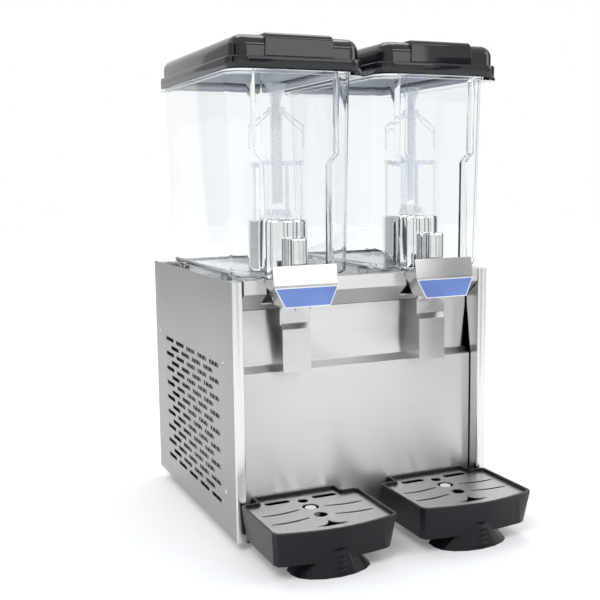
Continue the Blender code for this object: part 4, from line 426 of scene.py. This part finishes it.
# %% Recipe: metal
def metal(name, colour, dark, stretch, rough, patch=7.0, relief=0.06, anisotropy=0.0, axis="Z", film=0.06,
          rubbed=True):
    """Bare metal: grain lines, soft patches that are partly painted reflection, a light film from hands and
    bright edges.
    """
    look, tree, shader, place = new_look(name, colour, rough[0], 1.0)
    grain = use(tree, grain_group, place, Stretch=stretch, Patch=patch)
    hands = use(tree, film_group, place, Scale=16.0, Cover=0.45)
    # The tone mixes grain lines with soft patches; the patches are partly painted reflection.
    tone = calc(tree, "ADD", calc(tree, "MULTIPLY", grain["Line"], 0.55),
                calc(tree, "MULTIPLY", grain["Patch"], 0.45))
    base = blend_colour(tree, remap(tree, tone, 0.3, 0.7), dark, colour)
    if rubbed:
        worn = use(tree, wear_group, place, Start=0.53)
        bright = tuple(min(1.0, channel * 1.18) for channel in colour)
        base = blend_colour(tree, worn["Mask"], base, bright)
    wire(tree, shader.inputs["Base Color"], base)
    grained = remap(tree, tone, 0.3, 0.7, rough[1], rough[0])
    smeared = calc(tree, "MULTIPLY", hands["Mask"], film)
    wire(tree, shader.inputs["Roughness"], calc(tree, "ADD", grained, smeared))
    bump(tree, shader, grain["Line"], relief, 0.0002)
    if anisotropy:
        shader.inputs["Anisotropic"].default_value = anisotropy
        lay = tree.nodes.new("ShaderNodeTangent")
        lay.direction_type = "RADIAL"
        lay.axis = axis
        tree.links.new(lay.outputs[0], shader.inputs["Tangent"])
    return look


front_steel = metal("brushed_front_steel", (0.64, 0.638, 0.632), (0.57, 0.568, 0.562), (7, 500, 1100),
                    (0.27, 0.33), patch=1.0, relief=0.004, anisotropy=0.9, axis="X", film=0.0, rubbed=False)
# The column's colour is paler and the side sheet's darker than the front's: painted light on the column, and
# painted shade on the side sheet, which the rear panel shares.
painted_light_column_steel = metal("column_steel_painted_light", (0.76, 0.76, 0.755), (0.68, 0.68, 0.675), (500, 500, 6),
                     (0.16, 0.24), patch=2.0, relief=0.015, film=0.02, rubbed=False)
painted_shade_side_steel = metal("satin_side_steel_painted_shade", (0.40, 0.397, 0.388), (0.34, 0.338, 0.33), (500, 900, 7),
                   (0.26, 0.36), patch=2.5, relief=0.015, anisotropy=0.6, film=0.02, rubbed=False)
# The deck behind its front lip gets a darker, faintly blue steel: painted shade under the tanks.
painted_shade_deck_steel = metal("deck_steel_painted_shade", (0.34, 0.345, 0.355), (0.24, 0.245, 0.255), (9, 400, 400),
                   (0.16, 0.30), patch=12.0, relief=0.03, film=0.08, rubbed=False)
tap_steel = metal("satin_tap_steel", (0.60, 0.595, 0.585), (0.53, 0.525, 0.515), (9, 700, 900),
                  (0.12, 0.18), patch=4.0, relief=0.008, film=0.02, rubbed=False)
drum_steel = metal("polished_drum_steel", (0.84, 0.84, 0.835), (0.76, 0.76, 0.76), (300, 300, 8),
                   (0.02, 0.05), patch=10.0, relief=0.006, film=0.03)
plate_steel = metal("brushed_plate_steel", (0.56, 0.555, 0.548), (0.48, 0.475, 0.468), (9, 700, 900),
                    (0.28, 0.36), patch=3.0, relief=0.006, film=0.02, rubbed=False)
hidden_steel = metal("dull_pan_steel", (0.46, 0.46, 0.455), (0.34, 0.34, 0.335), (30, 300, 300),
                     (0.35, 0.55))
screw_steel = metal("turned_screw_steel", (0.80, 0.80, 0.79), (0.62, 0.62, 0.61), (900, 900, 900),
                    (0.16, 0.30), patch=90.0)
print("metals:", [m.name for m in bpy.data.materials if "steel" in m.name])


# %% Recipe: moulded plastic
def plastic(name, colour, rough, cell=900.0, relief=0.05, dust=0.2, pale=(0.30, 0.30, 0.31), wave=14.0,
            shine=0.5):
    """Moulded plastic: grained skin, slow waves, dust on top and pale rubbed edges."""
    look, tree, shader, place = new_look(name, colour, rough[0])
    skin = use(tree, skin_group, place, Scale=cell, Wave=wave)
    hands = use(tree, film_group, place, Scale=22.0, Cover=0.5)
    settled = use(tree, dust_group, place, Amount=dust)
    worn = use(tree, wear_group, place, Start=0.55)
    lighter = tuple(channel * 1.35 + 0.004 for channel in colour)
    base = blend_colour(tree, remap(tree, skin["Wave"], 0.3, 0.7), colour, lighter)
    dusty = blend_colour(tree, calc(tree, "MULTIPLY", settled["Mask"], 0.35), base, (0.42, 0.41, 0.40))
    rubbed = calc(tree, "MULTIPLY", worn["Mask"], 0.25)
    wire(tree, shader.inputs["Base Color"], blend_colour(tree, rubbed, dusty, pale))
    film = calc(tree, "MULTIPLY", calc(tree, "ADD", hands["Mask"], settled["Mask"]), 0.5)
    wire(tree, shader.inputs["Roughness"], remap(tree, film, 0.0, 1.0, rough[0], rough[1]))
    bump(tree, shader, skin["Cell"], relief, 0.0001)
    shader.inputs["Specular IOR Level"].default_value = shine
    return look


lid_black = plastic("gloss_black_lid", (0.0045, 0.005, 0.0065), (0.045, 0.075), cell=1400, relief=0.0,
                    dust=0.01, pale=(0.03, 0.03, 0.035), wave=5.0, shine=0.45)
lid_inner = plastic("pale_lid_lining", (0.50, 0.51, 0.53), (0.30, 0.42), cell=1200, relief=0.01, dust=0.0,
                    pale=(0.6, 0.6, 0.62), wave=6.0)
tray_black = plastic("charcoal_tray", (0.0055, 0.0063, 0.0082), (0.24, 0.28), cell=1100, relief=0.0,
                     dust=0.01, pale=(0.02, 0.022, 0.026), wave=3.0, shine=0.22)
rubber = plastic("black_rubber", (0.014, 0.014, 0.014), (0.62, 0.80), cell=700, relief=0.15, dust=0.4)
switch_black = plastic("switch_black", (0.015, 0.015, 0.016), (0.28, 0.42), cell=1200)
white_plastic = plastic("white_valve", (0.74, 0.74, 0.72), (0.32, 0.45), cell=1300, pale=(0.85, 0.85, 0.84))
grey_silicone = plastic("grey_silicone", (0.42, 0.43, 0.44), (0.50, 0.65), cell=800, pale=(0.6, 0.6, 0.6))
plaque_blue = plastic("plaque_blue", (0.120, 0.195, 0.47), (0.24, 0.34), cell=1500, relief=0.02, dust=0.1,
                      pale=(0.5, 0.6, 0.9))
plaque_rim = plastic("plaque_rim", (0.72, 0.74, 0.78), (0.25, 0.35), cell=1500, relief=0.02, dust=0.1,
                     pale=(0.9, 0.9, 0.9))
machine_paint = plastic("machine_paint", (0.016, 0.016, 0.018), (0.30, 0.50), cell=260, relief=0.2,
                        dust=0.5, wave=6.0)
print("plastics and paints ready")


# %% [markdown]
# ### Clear plastic
# The tanks are clear moulded polycarbonate. Light bends at the outer and the inner face,
# so walls stay solid instead of thin sheets. Shadow rays pass with a faint tint, because
# a path tracer would otherwise make the inside of every clear box dark. The spray tower
# is milky: a thin pale veil looks more like it than bent light.

# %% Recipe: clear plastic
def clear(name, colour, rough, tint, bend=1.45):
    """Clear plastic with a faint film, and light shadows."""
    look, tree, shader, place = new_look(name, colour, rough[0])
    shader.inputs["IOR"].default_value = bend
    shader.inputs["Transmission Weight"].default_value = 1.0
    hands = use(tree, film_group, place, Scale=5.0, Cover=0.3)
    skin = use(tree, skin_group, place, Scale=60.0, Wave=4.0)
    wire(tree, shader.inputs["Roughness"], remap(tree, hands["Mask"], 0.0, 1.0, rough[0], rough[1]))
    deeper = tuple(channel * 0.985 for channel in colour)
    wire(tree, shader.inputs["Base Color"], blend_colour(tree, skin["Wave"], colour, deeper))
    passing = tree.nodes.new("ShaderNodeBsdfTransparent")
    passing.inputs["Color"].default_value = (*tint, 1)
    path = tree.nodes.new("ShaderNodeLightPath")
    soft = calc(tree, "MAXIMUM", path.outputs["Is Shadow Ray"], path.outputs["Is Diffuse Ray"])
    mix = tree.nodes.new("ShaderNodeMixShader")
    tree.links.new(soft, mix.inputs["Fac"])
    tree.links.new(shader.outputs[0], mix.inputs[1])
    tree.links.new(passing.outputs[0], mix.inputs[2])
    tree.links.new(mix.outputs[0], tree.nodes["Material Output"].inputs["Surface"])
    return look


def frosted(name, colour, rough, cover):
    """Milky plastic: a thin veil whose cover varies slowly over the moulding."""
    look, tree, shader, place = new_look(name, colour, rough)
    skin = use(tree, skin_group, place, Scale=300.0, Wave=25.0)
    deeper = tuple(channel * 0.93 for channel in colour)
    wire(tree, shader.inputs["Base Color"], blend_colour(tree, skin["Wave"], colour, deeper))
    wire(tree, shader.inputs["Alpha"], remap(tree, skin["Wave"], 0.3, 0.7, cover[0], cover[1]))
    bump(tree, shader, skin["Cell"], 0.05, 0.0002)
    return look


tank_clear = clear("clear_tank", (0.972, 0.982, 0.992), (0.0, 0.006), (0.95, 0.965, 0.98), bend=1.24)
tower_clear = frosted("frosted_tower", (0.92, 0.94, 0.965), 0.28, (0.24, 0.34))
copper = metal("drawn_copper", (0.78, 0.42, 0.28), (0.58, 0.28, 0.18), (60, 60, 400), (0.22, 0.40),
               patch=30.0)
fins = metal("aluminium_fins", (0.70, 0.71, 0.72), (0.50, 0.51, 0.52), (20, 400, 400), (0.30, 0.50),
             patch=20.0)
print(len(bpy.data.materials), "materials")


# %% [markdown]
# ## Ways to make a piece
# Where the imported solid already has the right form, a piece starts as its copy: the loose
# triangles are merged, flat neighbours dissolve into whole faces, and a narrow bevel
# rounds every crisp edge so that it catches light. Other pieces are modelled afresh.

# %% Making and placing
def settle(name, shape, body, look, *nodes, slot=None, crisp=32, edge=0.0, edge_steps=2, wall=0.0):
    """Turns a bmesh into a finished piece that rides on a body and stands for CAD nodes."""
    mesh = bpy.data.meshes.new(name)
    shape.to_mesh(mesh)
    shape.free()
    for material in look if isinstance(look, tuple) else (look,):
        mesh.materials.append(material)
    mesh.shade_smooth()
    mesh.set_sharp_from_angle(angle=math.radians(crisp))
    piece = bpy.data.objects.new(name, mesh)
    scene.collection.objects.link(piece)
    if wall:
        shell = piece.modifiers.new("wall", "SOLIDIFY")
        shell.thickness, shell.offset = wall, -1
    if edge:
        rounding = piece.modifiers.new("edges", "BEVEL")
        rounding.width, rounding.segments = edge, edge_steps
        rounding.limit_method, rounding.angle_limit = "ANGLE", math.radians(crisp)
        rounding.harden_normals = True
    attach(piece, body)
    if nodes:
        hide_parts(*nodes)
    return piece


def copy_of(node):
    """A merged bmesh copy of a CAD node with its flat faces made whole."""
    shape = bmesh.new()
    shape.from_mesh(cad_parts[node].data)
    bmesh.ops.remove_doubles(shape, verts=shape.verts, dist=2e-6)
    bmesh.ops.dissolve_limit(shape, angle_limit=math.radians(0.6), verts=shape.verts, edges=shape.edges)
    return shape


def softened(node, body, look, edge, slot, crisp=32, steps=2):
    """A finished copy of a CAD node with rounded edges."""
    return settle(node + "_piece", copy_of(node), body, look, node, slot=slot, crisp=crisp, edge=edge,
                  edge_steps=steps)


def turned(shape, profile, middle, steps=64):
    """Spins a profile of (radius, height) points about an upright axis."""
    verts = [shape.verts.new((middle[0] + radius, middle[1], height)) for radius, height in profile]
    edges = [shape.edges.new(pair) for pair in zip(verts, verts[1:])]
    bmesh.ops.spin(shape, geom=verts + edges, cent=(middle[0], middle[1], 0), axis=(0, 0, 1),
                   angle=math.tau, steps=steps, use_merge=True)
    bmesh.ops.remove_doubles(shape, verts=shape.verts, dist=1e-6)
    bmesh.ops.recalc_face_normals(shape, faces=shape.faces)
    return shape


def round_off(shape, geom, radius, segments, affect="EDGES"):
    """Rounds edges, or the corners of a flat outline."""
    return bmesh.ops.bevel(shape, geom=geom, affect=affect, offset=radius, segments=segments, profile=0.5,
                           material=-1)


def plate(shape, middle, half, near, far, height, corner, steps=8):
    """A flat face with rounded corners, in a unit's own plan."""
    verts = bmesh.ops.create_grid(shape, x_segments=1, y_segments=1, size=1)["verts"]
    bmesh.ops.scale(shape, vec=(half, (far - near) / 2, 1), verts=verts)
    bmesh.ops.translate(shape, vec=(middle, y_at((near + far) / 2), height), verts=verts)
    face = verts[0].link_faces[0]
    round_off(shape, verts, corner, steps, "VERTICES")
    level_faces = (f for f in shape.faces if abs(f.calc_center_median().z - height) < 1e-5)
    return max(level_faces, key=lambda f: f.calc_area())


def raise_face(shape, face, rise):
    """Extrudes a cap upwards and returns the new cap."""
    made = bmesh.ops.extrude_face_region(shape, geom=[face])["geom"]
    moved = [g for g in made if isinstance(g, bmesh.types.BMVert)]
    bmesh.ops.translate(shape, vec=(0, 0, rise), verts=moved)
    if face.is_valid:
        shape.faces.remove(face)
    return [g for g in made if isinstance(g, bmesh.types.BMFace)][0]


print("piece helpers ready")

# %% [markdown]
# ## Lids
# Each lid is one glossy black moulding: a skirt that grips the flange, a ledge, a domed
# top with a generous round, and a raised block at the front to lift it by. A cap face is
# raised, inset and raised again, then the rim loops are beveled, which is how such a
# stepped dome is drawn by hand. A Solidify modifier gives it a wall, pale on the inside.
# The block is a side view with a round brow, drawn out across the lid. Its hidden bed
# follows the dome's wall, so that nothing reaches into the lid.

# %% Lids
LID_HALF, LID_NEAR, LID_FAR = 0.104, -0.026, 0.350
LID_FOOT, LID_STEP, LID_TOP = 0.6935, 0.711, 0.741
BLOCK_HALF, BLOCK_NEAR, BLOCK_FAR, BLOCK_TOP = 0.053, -0.0222, 0.060, 0.7435
BLOCK_LEAN, BLOCK_BROW, BLOCK_SEAT = 0.0035, 0.0085, 0.0004
BLOCK_BED = ((0.060, 0.7395), (-0.0050, 0.7395), (-0.0143, 0.7348), (-0.0185, 0.7265), (-0.0185, 0.7114))
LID_WALL = 0.003


def edges_at(shape, height, face):
    """The loop of a cap face, if it lies at a height."""
    return [e for e in face.edges if all(abs(v.co.z - height) < 1e-5 for v in e.verts)]


def lid_shape(middle):
    """Stepped dome and front block."""
    shape = bmesh.new()
    cap = plate(shape, middle, LID_HALF, LID_NEAR, LID_FAR, LID_FOOT, 0.027, 12)
    cap = raise_face(shape, cap, LID_STEP - LID_FOOT)
    skirt_rim = edges_at(shape, LID_STEP, cap)
    bmesh.ops.inset_region(shape, faces=[cap], thickness=0.0055, use_even_offset=True)
    cap = raise_face(shape, cap, LID_TOP - LID_STEP)
    dome_rim = edges_at(shape, LID_TOP, cap)
    round_off(shape, dome_rim, 0.017, 8)
    round_off(shape, skirt_rim, 0.0016, 3)
    return shape


def lid_block(middle):
    """The raised block: a profile with a round brow, seated in the dome's wall, with ends that lean in."""
    shape = bmesh.new()
    profile = [(BLOCK_NEAR, LID_STEP + BLOCK_SEAT), (BLOCK_NEAR, BLOCK_TOP), (BLOCK_FAR, BLOCK_TOP)]
    profile += BLOCK_BED
    verts = [shape.verts.new((0, y_at(depth), height)) for depth, height in profile]
    shape.faces.new(verts)
    round_off(shape, [verts[1]], BLOCK_BROW, 8, "VERTICES")
    bmesh.ops.translate(shape, vec=(middle - BLOCK_HALF, 0, 0), verts=shape.verts)
    made = bmesh.ops.extrude_face_region(shape, geom=shape.faces[:])["geom"]
    moved = [g for g in made if isinstance(g, bmesh.types.BMVert)]
    bmesh.ops.translate(shape, vec=(BLOCK_HALF * 2, 0, 0), verts=moved)
    for vert in shape.verts:
        rise = max(0.0, (vert.co.z - LID_STEP) / (BLOCK_TOP - LID_STEP))
        vert.co.x += math.copysign(BLOCK_LEAN * rise ** 3, middle - vert.co.x)
    bmesh.ops.recalc_face_normals(shape, faces=shape.faces)
    return shape


for tag, middle in UNITS:
    piece = settle("lid_piece_" + tag, lid_shape(middle), "lid_" + tag, (lid_black, lid_inner), "lid_" + tag,
                   slot="gloss_black_plastic", crisp=40, wall=LID_WALL)
    piece.modifiers["wall"].material_offset = 1
    settle("lid_block_" + tag, lid_block(middle), "lid_" + tag, lid_black, slot="gloss_black_plastic",
           crisp=40, edge=0.001, edge_steps=3)
    print(piece.name, len(piece.data.polygons), "faces")

# %% [markdown]
# ## Tanks
# The tank is one clear moulding: tapered walls, a stepped pilaster on the front, a chin
# over the tap and a flange under the lid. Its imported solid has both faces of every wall,
# so a copy with softly rounded edges gives the bright lines that a real tank shows.

# %% Tanks, towers and their steel
DRUM_OUTLINE = ((0, 0.483), (0.0412, 0.483), (0.0428, 0.4826), (0.0442, 0.4818), (0.0448, 0.4806),
                (0.045, 0.479), (0.045, 0.3887), (0.0435, 0.3887), (0.0435, 0.4815), (0, 0.4815))
SLEEVE_OUTLINE = ((0, 0.4585), (0.0135, 0.4585), (0.0148, 0.4579), (0.0156, 0.4568), (0.016, 0.455),
                  (0.016, 0.3893), (0.015, 0.3893), (0.015, 0.4545), (0, 0.4572))
DRUM_DEPTH, SLEEVE_DEPTH = 0.072, 0.001

for tag, middle in UNITS:
    softened("tank_" + tag, "tank_" + tag, tank_clear, 0.0009, "clear_plastic", crisp=34, steps=3)
    softened("spray_tower_" + tag, "tower_" + tag, tower_clear, 0.0005, "frosted_plastic", crisp=34)
    drum = turned(bmesh.new(), DRUM_OUTLINE, (middle, y_at(DRUM_DEPTH)), 96)
    settle("drum_piece_" + tag, drum, "body", drum_steel, "drum_" + tag, slot="polished_steel")
    sleeve = turned(bmesh.new(), SLEEVE_OUTLINE, (middle, y_at(SLEEVE_DEPTH)), 64)
    settle("valve_sleeve_piece_" + tag, sleeve, "tank_" + tag, drum_steel, "valve_sleeve_" + tag,
           slot="polished_steel")
print("tanks, towers, drums and sleeves")

# %% [markdown]
# ## Steel body
# The side panel is punched with staggered slots whose ends are round. The slots start as
# circles whose far half is pushed along; the outline and the slots are filled as one flat
# face with holes, and the face is thickened. The folded column is a plan with rounded
# folds, raised to full height.

# %% Side panels
HALF = 0.215
SHEET = 0.0015
COLUMN_FACE, COLUMN_WING, COLUMN_LIP = 0.016, 0.034, 0.0024


def slot_ring(shape, along, height, length, tall, steps=16):
    """A closed ring with round ends, flat in X and Y."""
    ring = bmesh.ops.create_circle(shape, cap_ends=False, radius=tall / 2, segments=steps)["verts"]
    bmesh.ops.rotate(shape, verts=ring, cent=(0, 0, 0), matrix=Matrix.Rotation(math.pi / steps, 3, "Z"))
    reach = (length - tall) / 2
    for vert in ring:
        vert.co.x += math.copysign(reach, vert.co.x)
    bmesh.ops.translate(shape, vec=(along, height, 0), verts=ring)
    return ring


def thicken(shape, by):
    """Extrudes every flat face by a vector and makes all normals agree."""
    made = bmesh.ops.extrude_face_region(shape, geom=shape.faces[:])["geom"]
    bmesh.ops.translate(shape, vec=by, verts=[g for g in made if isinstance(g, bmesh.types.BMVert)])
    bmesh.ops.recalc_face_normals(shape, faces=shape.faces)


def side_sheet(side):
    """The vented sheet of one side."""
    shape = bmesh.new()
    border = bmesh.ops.create_grid(shape, x_segments=1, y_segments=1, size=1)["verts"]
    bmesh.ops.scale(shape, vec=(0.2088, 0.1905, 1), verts=border)
    bmesh.ops.translate(shape, vec=(0.2112, 0.2075, 0), verts=border)
    bmesh.ops.delete(shape, geom=shape.faces[:], context="FACES_ONLY")
    for row in range(17):
        shift = row % 2
        for number in range(5 - shift):
            slot_ring(shape, 0.092 + (number + shift / 2) * 0.0605, 0.2665 - row * 0.0131, 0.046, 0.0066)
    bmesh.ops.triangle_fill(shape, use_beauty=True, use_dissolve=False, edges=shape.edges)
    turn = Matrix(((0, 0, 1, side * (HALF - SHEET / 2)), (1, 0, 0, FRONT), (0, 1, 0, 0), (0, 0, 0, 1)))
    bmesh.ops.transform(shape, matrix=turn, verts=shape.verts)
    thicken(shape, (SHEET, 0, 0))
    bmesh.ops.translate(shape, vec=(-SHEET / 2, 0, 0), verts=shape.verts)
    return shape


def column_plan(shape, side):
    """The column's folded plan, raised to its height."""
    inner = HALF - COLUMN_FACE
    corners = [(HALF, COLUMN_LIP), (HALF, 0), (inner, 0), (inner, COLUMN_WING), (inner + SHEET, COLUMN_WING),
               (inner + SHEET, SHEET), (HALF - SHEET, SHEET), (HALF - SHEET, COLUMN_LIP)]
    verts = [shape.verts.new((side * x, y_at(depth), 0.012)) for x, depth in corners]
    face = shape.faces.new(verts)
    round_off(shape, [verts[1], verts[2]], 0.0022, 4, "VERTICES")
    face = [f for f in shape.faces if abs(f.calc_center_median().z - 0.012) < 1e-6][-1]
    made = bmesh.ops.extrude_face_region(shape, geom=[face])["geom"]
    moved = [g for g in made if isinstance(g, bmesh.types.BMVert)]
    bmesh.ops.translate(shape, vec=(0, 0, 0.386), verts=moved)
    cap = bmesh.ops.create_cube(shape, size=1)["verts"]
    bmesh.ops.scale(shape, vec=(0.0128, 0.0322, 0.0012), verts=cap)
    bmesh.ops.translate(shape, vec=(side * (HALF - 0.008), y_at(0.0178), 0.3972), verts=cap)
    bmesh.ops.recalc_face_normals(shape, faces=shape.faces)


for tag, side in (("left", -1), ("right", 1)):
    panel = side_sheet(side)
    settle("side_sheet_" + tag, panel, "body", painted_shade_side_steel, "side_panel_" + tag, slot="brushed_steel",
           edge=0.0003)
    column = bmesh.new()
    column_plan(column, side)
    settle("column_" + tag, column, "body", painted_light_column_steel, slot="brushed_steel", edge=0.0003)
print("side panels and columns")

# %% [markdown]
# ### Screws
# Four small domed screws hold each side panel. One shape is a turned dome with a cross of
# black-painted bars, painted shade standing in for the recess, copied to its eight places.

# %% Screws
SCREWS = ((0.396, 0.276), (0.048, 0.277), (0.396, 0.087), (0.048, 0.079))
SCREW_OUTLINE = ((0, 0.0016), (0.0016, 0.0015), (0.0029, 0.0011), (0.0036, 0.0004), (0.0037, 0))


def screw_shape(side, depth, height):
    """A domed head with a black-painted cross, painted shade for its recess, laid against the side panel."""
    shape = bmesh.new()
    turned(shape, SCREW_OUTLINE, (0, 0), 20)
    for turn in (0, math.pi / 2):
        recess_shade_bar = bmesh.ops.create_cube(shape, size=1)["verts"]
        bmesh.ops.scale(shape, vec=(0.0036, 0.0007, 0.0004), verts=recess_shade_bar)
        bmesh.ops.rotate(shape, verts=recess_shade_bar, cent=(0, 0, 0), matrix=Matrix.Rotation(turn + 0.4, 3, "Z"))
        bmesh.ops.translate(shape, vec=(0, 0, 0.0015), verts=recess_shade_bar)
        # The cross's faces take the black paint: painted shade in place of a cut recess.
        for face in {f for v in recess_shade_bar for f in v.link_faces}:
            face.material_index = 1
    lay = Matrix.Translation((side * HALF, y_at(depth), height)) @ Matrix.Rotation(side * math.pi / 2, 4, "Y")
    bmesh.ops.transform(shape, matrix=lay, verts=shape.verts)
    return shape


for tag, side in (("left", -1), ("right", 1)):
    for number, (depth, height) in enumerate(SCREWS):
        settle(f"side_screw_{tag}_{number}", screw_shape(side, depth, height), "body",
               (screw_steel, machine_paint), slot="polished_steel")
print("eight screws")

# %% [markdown]
# ### Front, deck, pans and back
# These pressed sheets are copies of their solids with narrow rounded edges, so that each
# fold keeps a fine bright line.

# %% Pressed sheets and feet
softened("front_panel", "body", front_steel, 0.0005, "brushed_steel", crisp=20, steps=3)
deck = copy_of("top_deck")
# Faces behind the front lip take the darker steel, which is painted shade under the tanks.
for face in deck.faces:
    face.material_index = int(face.calc_center_median().y > y_at(0.03))
settle("top_deck_piece", deck, "body", (front_steel, painted_shade_deck_steel), "top_deck", slot="brushed_steel", crisp=25,
       edge=0.0004)
softened("base_pan", "body", hidden_steel, 0.0003, "brushed_steel")
softened("rear_panel", "body", painted_shade_side_steel, 0.0003, "brushed_steel")
for corner in ("front_left", "front_right", "rear_left", "rear_right"):
    softened("foot_" + corner, "body", rubber, 0.0008, "black_rubber", crisp=30)
for name in ("cooling", "pump_left", "pump_right"):
    softened("switch_" + name, "switch_" + name, switch_black, 0.0005, "gloss_black_plastic")
softened("thermostat_knob", "thermostat", switch_black, 0.0006, "gloss_black_plastic")
softened("cord_gland", "body", switch_black, 0.0006, "black_rubber")
print("sheets, feet and controls")

# %% [markdown]
# ## Taps
# A folded cover hides each outlet. It carries a blue plaque with a pale border, left
# plain here, and a bent push lever hangs under it.

# %% Tap covers, plaques and levers
def plaque_shape(node):
    """A copy of the plaque whose front face gets an inset blue field."""
    shape = copy_of(node)
    front = max(shape.faces, key=lambda f: f.calc_area() * -f.normal.y)
    for face in shape.faces:
        face.material_index = 1
    bmesh.ops.inset_region(shape, faces=[front], thickness=0.0014, depth=-0.0002, use_even_offset=True)
    front.material_index = 0
    return shape


for tag, middle in UNITS:
    softened("tap_housing_" + tag, "body", tap_steel, 0.0005, "brushed_steel", crisp=12, steps=3)
    settle("plaque_piece_" + tag, plaque_shape("plaque_" + tag), "body", (plaque_blue, plaque_rim),
           "plaque_" + tag, slot="blue_plaque", edge=0.00025)
    softened("lever_" + tag, "lever_" + tag, tap_steel, 0.0003, "brushed_steel", crisp=25)
    softened("lever_pin_" + tag, "body", screw_steel, 0.0003, "polished_steel")
    softened("nozzle_" + tag, "tank_" + tag, white_plastic, 0.0004, "white_plastic")
print("taps ready")

# %% [markdown]
# ## Drip trays
# A charcoal tray slides under each tap, and a brushed plate lies in it. The plate's
# holes are rings that stay open when the outline is filled as one face.

# %% Drip plates
PLATE_FOOT, PLATE_SHEET = 0.0658, 0.0015
FIN_SIDE = ((0.026, -0.118), (0.012, -0.1165), (0.006, -0.1125), (0.002, -0.1065))
FIN_TIP, FIN_KEEL = -0.099, -0.1225


def tray_ring(shape, middle, inset, share, height):
    """The tray's outline at a share of its taper, drawn in by an inset."""
    half = 0.095 - 0.0055 * share - inset
    tuck = 0.009 * share
    neck, back = 0.068 - tuck / 2 - inset, 0.0212 - tuck * 0.2 - inset
    shoulder = -0.003 - tuck * 0.5 - inset
    near = -0.137 + tuck + inset
    reach = -0.148 + tuck * 1.4 + inset - near
    corners = [(-neck, back), (neck, back), (neck, shoulder), (half, shoulder), (half, near), (-half, near),
               (-half, shoulder), (-neck, shoulder)]
    verts = [shape.verts.new((x, depth, 0)) for x, depth in corners]
    face = shape.faces.new(verts)
    front = [e for e in face.edges if all(abs(v.co.y - near) < 1e-6 for v in e.verts)]
    fresh = bmesh.ops.subdivide_edges(shape, edges=front, cuts=19)["geom_inner"]
    for vert in (g for g in fresh if isinstance(g, bmesh.types.BMVert)):
        vert.co.y += reach * math.cos(math.pi / 2 * vert.co.x / half)
    ends = [v for v in shape.verts if abs(abs(v.co.x) - half) < 1e-6 and abs(v.co.y - near) < 1e-6]
    round_off(shape, ends, 0.012, 6, "VERTICES")
    ring = [v for v in shape.verts if v.co.z == 0]
    bmesh.ops.translate(shape, vec=(middle, FRONT, height), verts=ring)
    return ring


def bowed_ring(shape, middle, hand, depth):
    """A narrow slot that sags at its middle, with round tapered ends."""
    ring = slot_ring(shape, 0, 0, 0.061, 0.0052, 8)
    long_edges = [e for e in {e for v in ring for e in v.link_edges} if e.calc_length() > 0.02]
    bmesh.ops.subdivide_edges(shape, edges=long_edges, cuts=9)
    for vert in (v for v in shape.verts if v.co.z == 0):
        share = (vert.co.x + 0.0305) / 0.061
        vert.co.y *= 1 - 0.5 * abs(2 * share - 1) ** 3
        vert.co.y -= 0.006 * math.sin(share * math.pi * 0.75)
        vert.co.x = middle + hand * (0.019 + 0.061 * share)
        vert.co.y += y_at(depth)
        vert.co.z = PLATE_FOOT


def plate_shape(middle):
    """The drip plate: outline, rear slots, bowed slots, three holes and the fin."""
    shape = bmesh.new()
    tray_ring(shape, middle, 0.0036, 0.124, PLATE_FOOT)
    bmesh.ops.delete(shape, geom=shape.faces[:], context="FACES_ONLY")
    for hand in (-1, 1):
        ring = slot_ring(shape, middle + hand * 0.038, y_at(-0.004), 0.040, 0.012)
        bmesh.ops.translate(shape, vec=(0, 0, PLATE_FOOT), verts=ring)
        for depth in (-0.045, -0.0815):
            bowed_ring(shape, middle, hand, depth)
    for depth, radius in ((-0.012, 0.008), (-0.040, 0.0125), (-0.076, 0.010)):
        bmesh.ops.create_circle(shape, cap_ends=False, radius=radius, segments=32,
                                matrix=Matrix.Translation((middle, y_at(depth), PLATE_FOOT)))
    fin = [(-x, depth) for x, depth in FIN_SIDE] + [(0, FIN_TIP)] + list(reversed(FIN_SIDE))
    fin += [(FIN_SIDE[1][0], FIN_KEEL), (-FIN_SIDE[1][0], FIN_KEEL)]
    verts = [shape.verts.new((middle + x, y_at(depth), PLATE_FOOT)) for x, depth in fin]
    for pair in zip(verts, verts[1:] + verts[:1]):
        shape.edges.new(pair)
    bmesh.ops.triangle_fill(shape, use_beauty=True, use_dissolve=False, edges=shape.edges)
    thicken(shape, (0, 0, PLATE_SHEET))
    return shape


for tag, middle in UNITS:
    settle("grille_piece_" + tag, plate_shape(middle), "grille_" + tag, plate_steel, "grille_" + tag,
           slot="brushed_steel", edge=0.0003)
    softened("drip_tray_" + tag, "tray_" + tag, tray_black, 0.0008, "charcoal_plastic", crisp=30, steps=3)
    softened("tray_float_" + tag, "float_" + tag, white_plastic, 0.0006, "white_plastic")
print("trays and plates")

# %% [markdown]
# ## Machinery
# Behind the vents sit a compressor, a finned condenser and its fan. Their solids already
# have the right form, so they keep it and get painted, cast and drawn finishes.

# %% Finishes on carried-over solids
CARRIED = {"compressor": machine_paint, "condenser": fins, "condenser_fan": switch_black,
           "fan_motor": machine_paint, "filter_drier": copper, "discharge_pipe": copper}
for tag, middle in UNITS:
    CARRIED.update({"impeller_" + tag: tower_clear, "drive_magnet_" + tag: white_plastic,
                    "pump_motor_" + tag: machine_paint, "valve_plunger_" + tag: white_plastic,
                    "valve_spring_" + tag: screw_steel, "tank_gasket_" + tag: grey_silicone})
for node, look in CARRIED.items():
    for slot_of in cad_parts[node].material_slots:
        slot_of.material = look
print("finished", len(CARRIED), "carried-over solids")
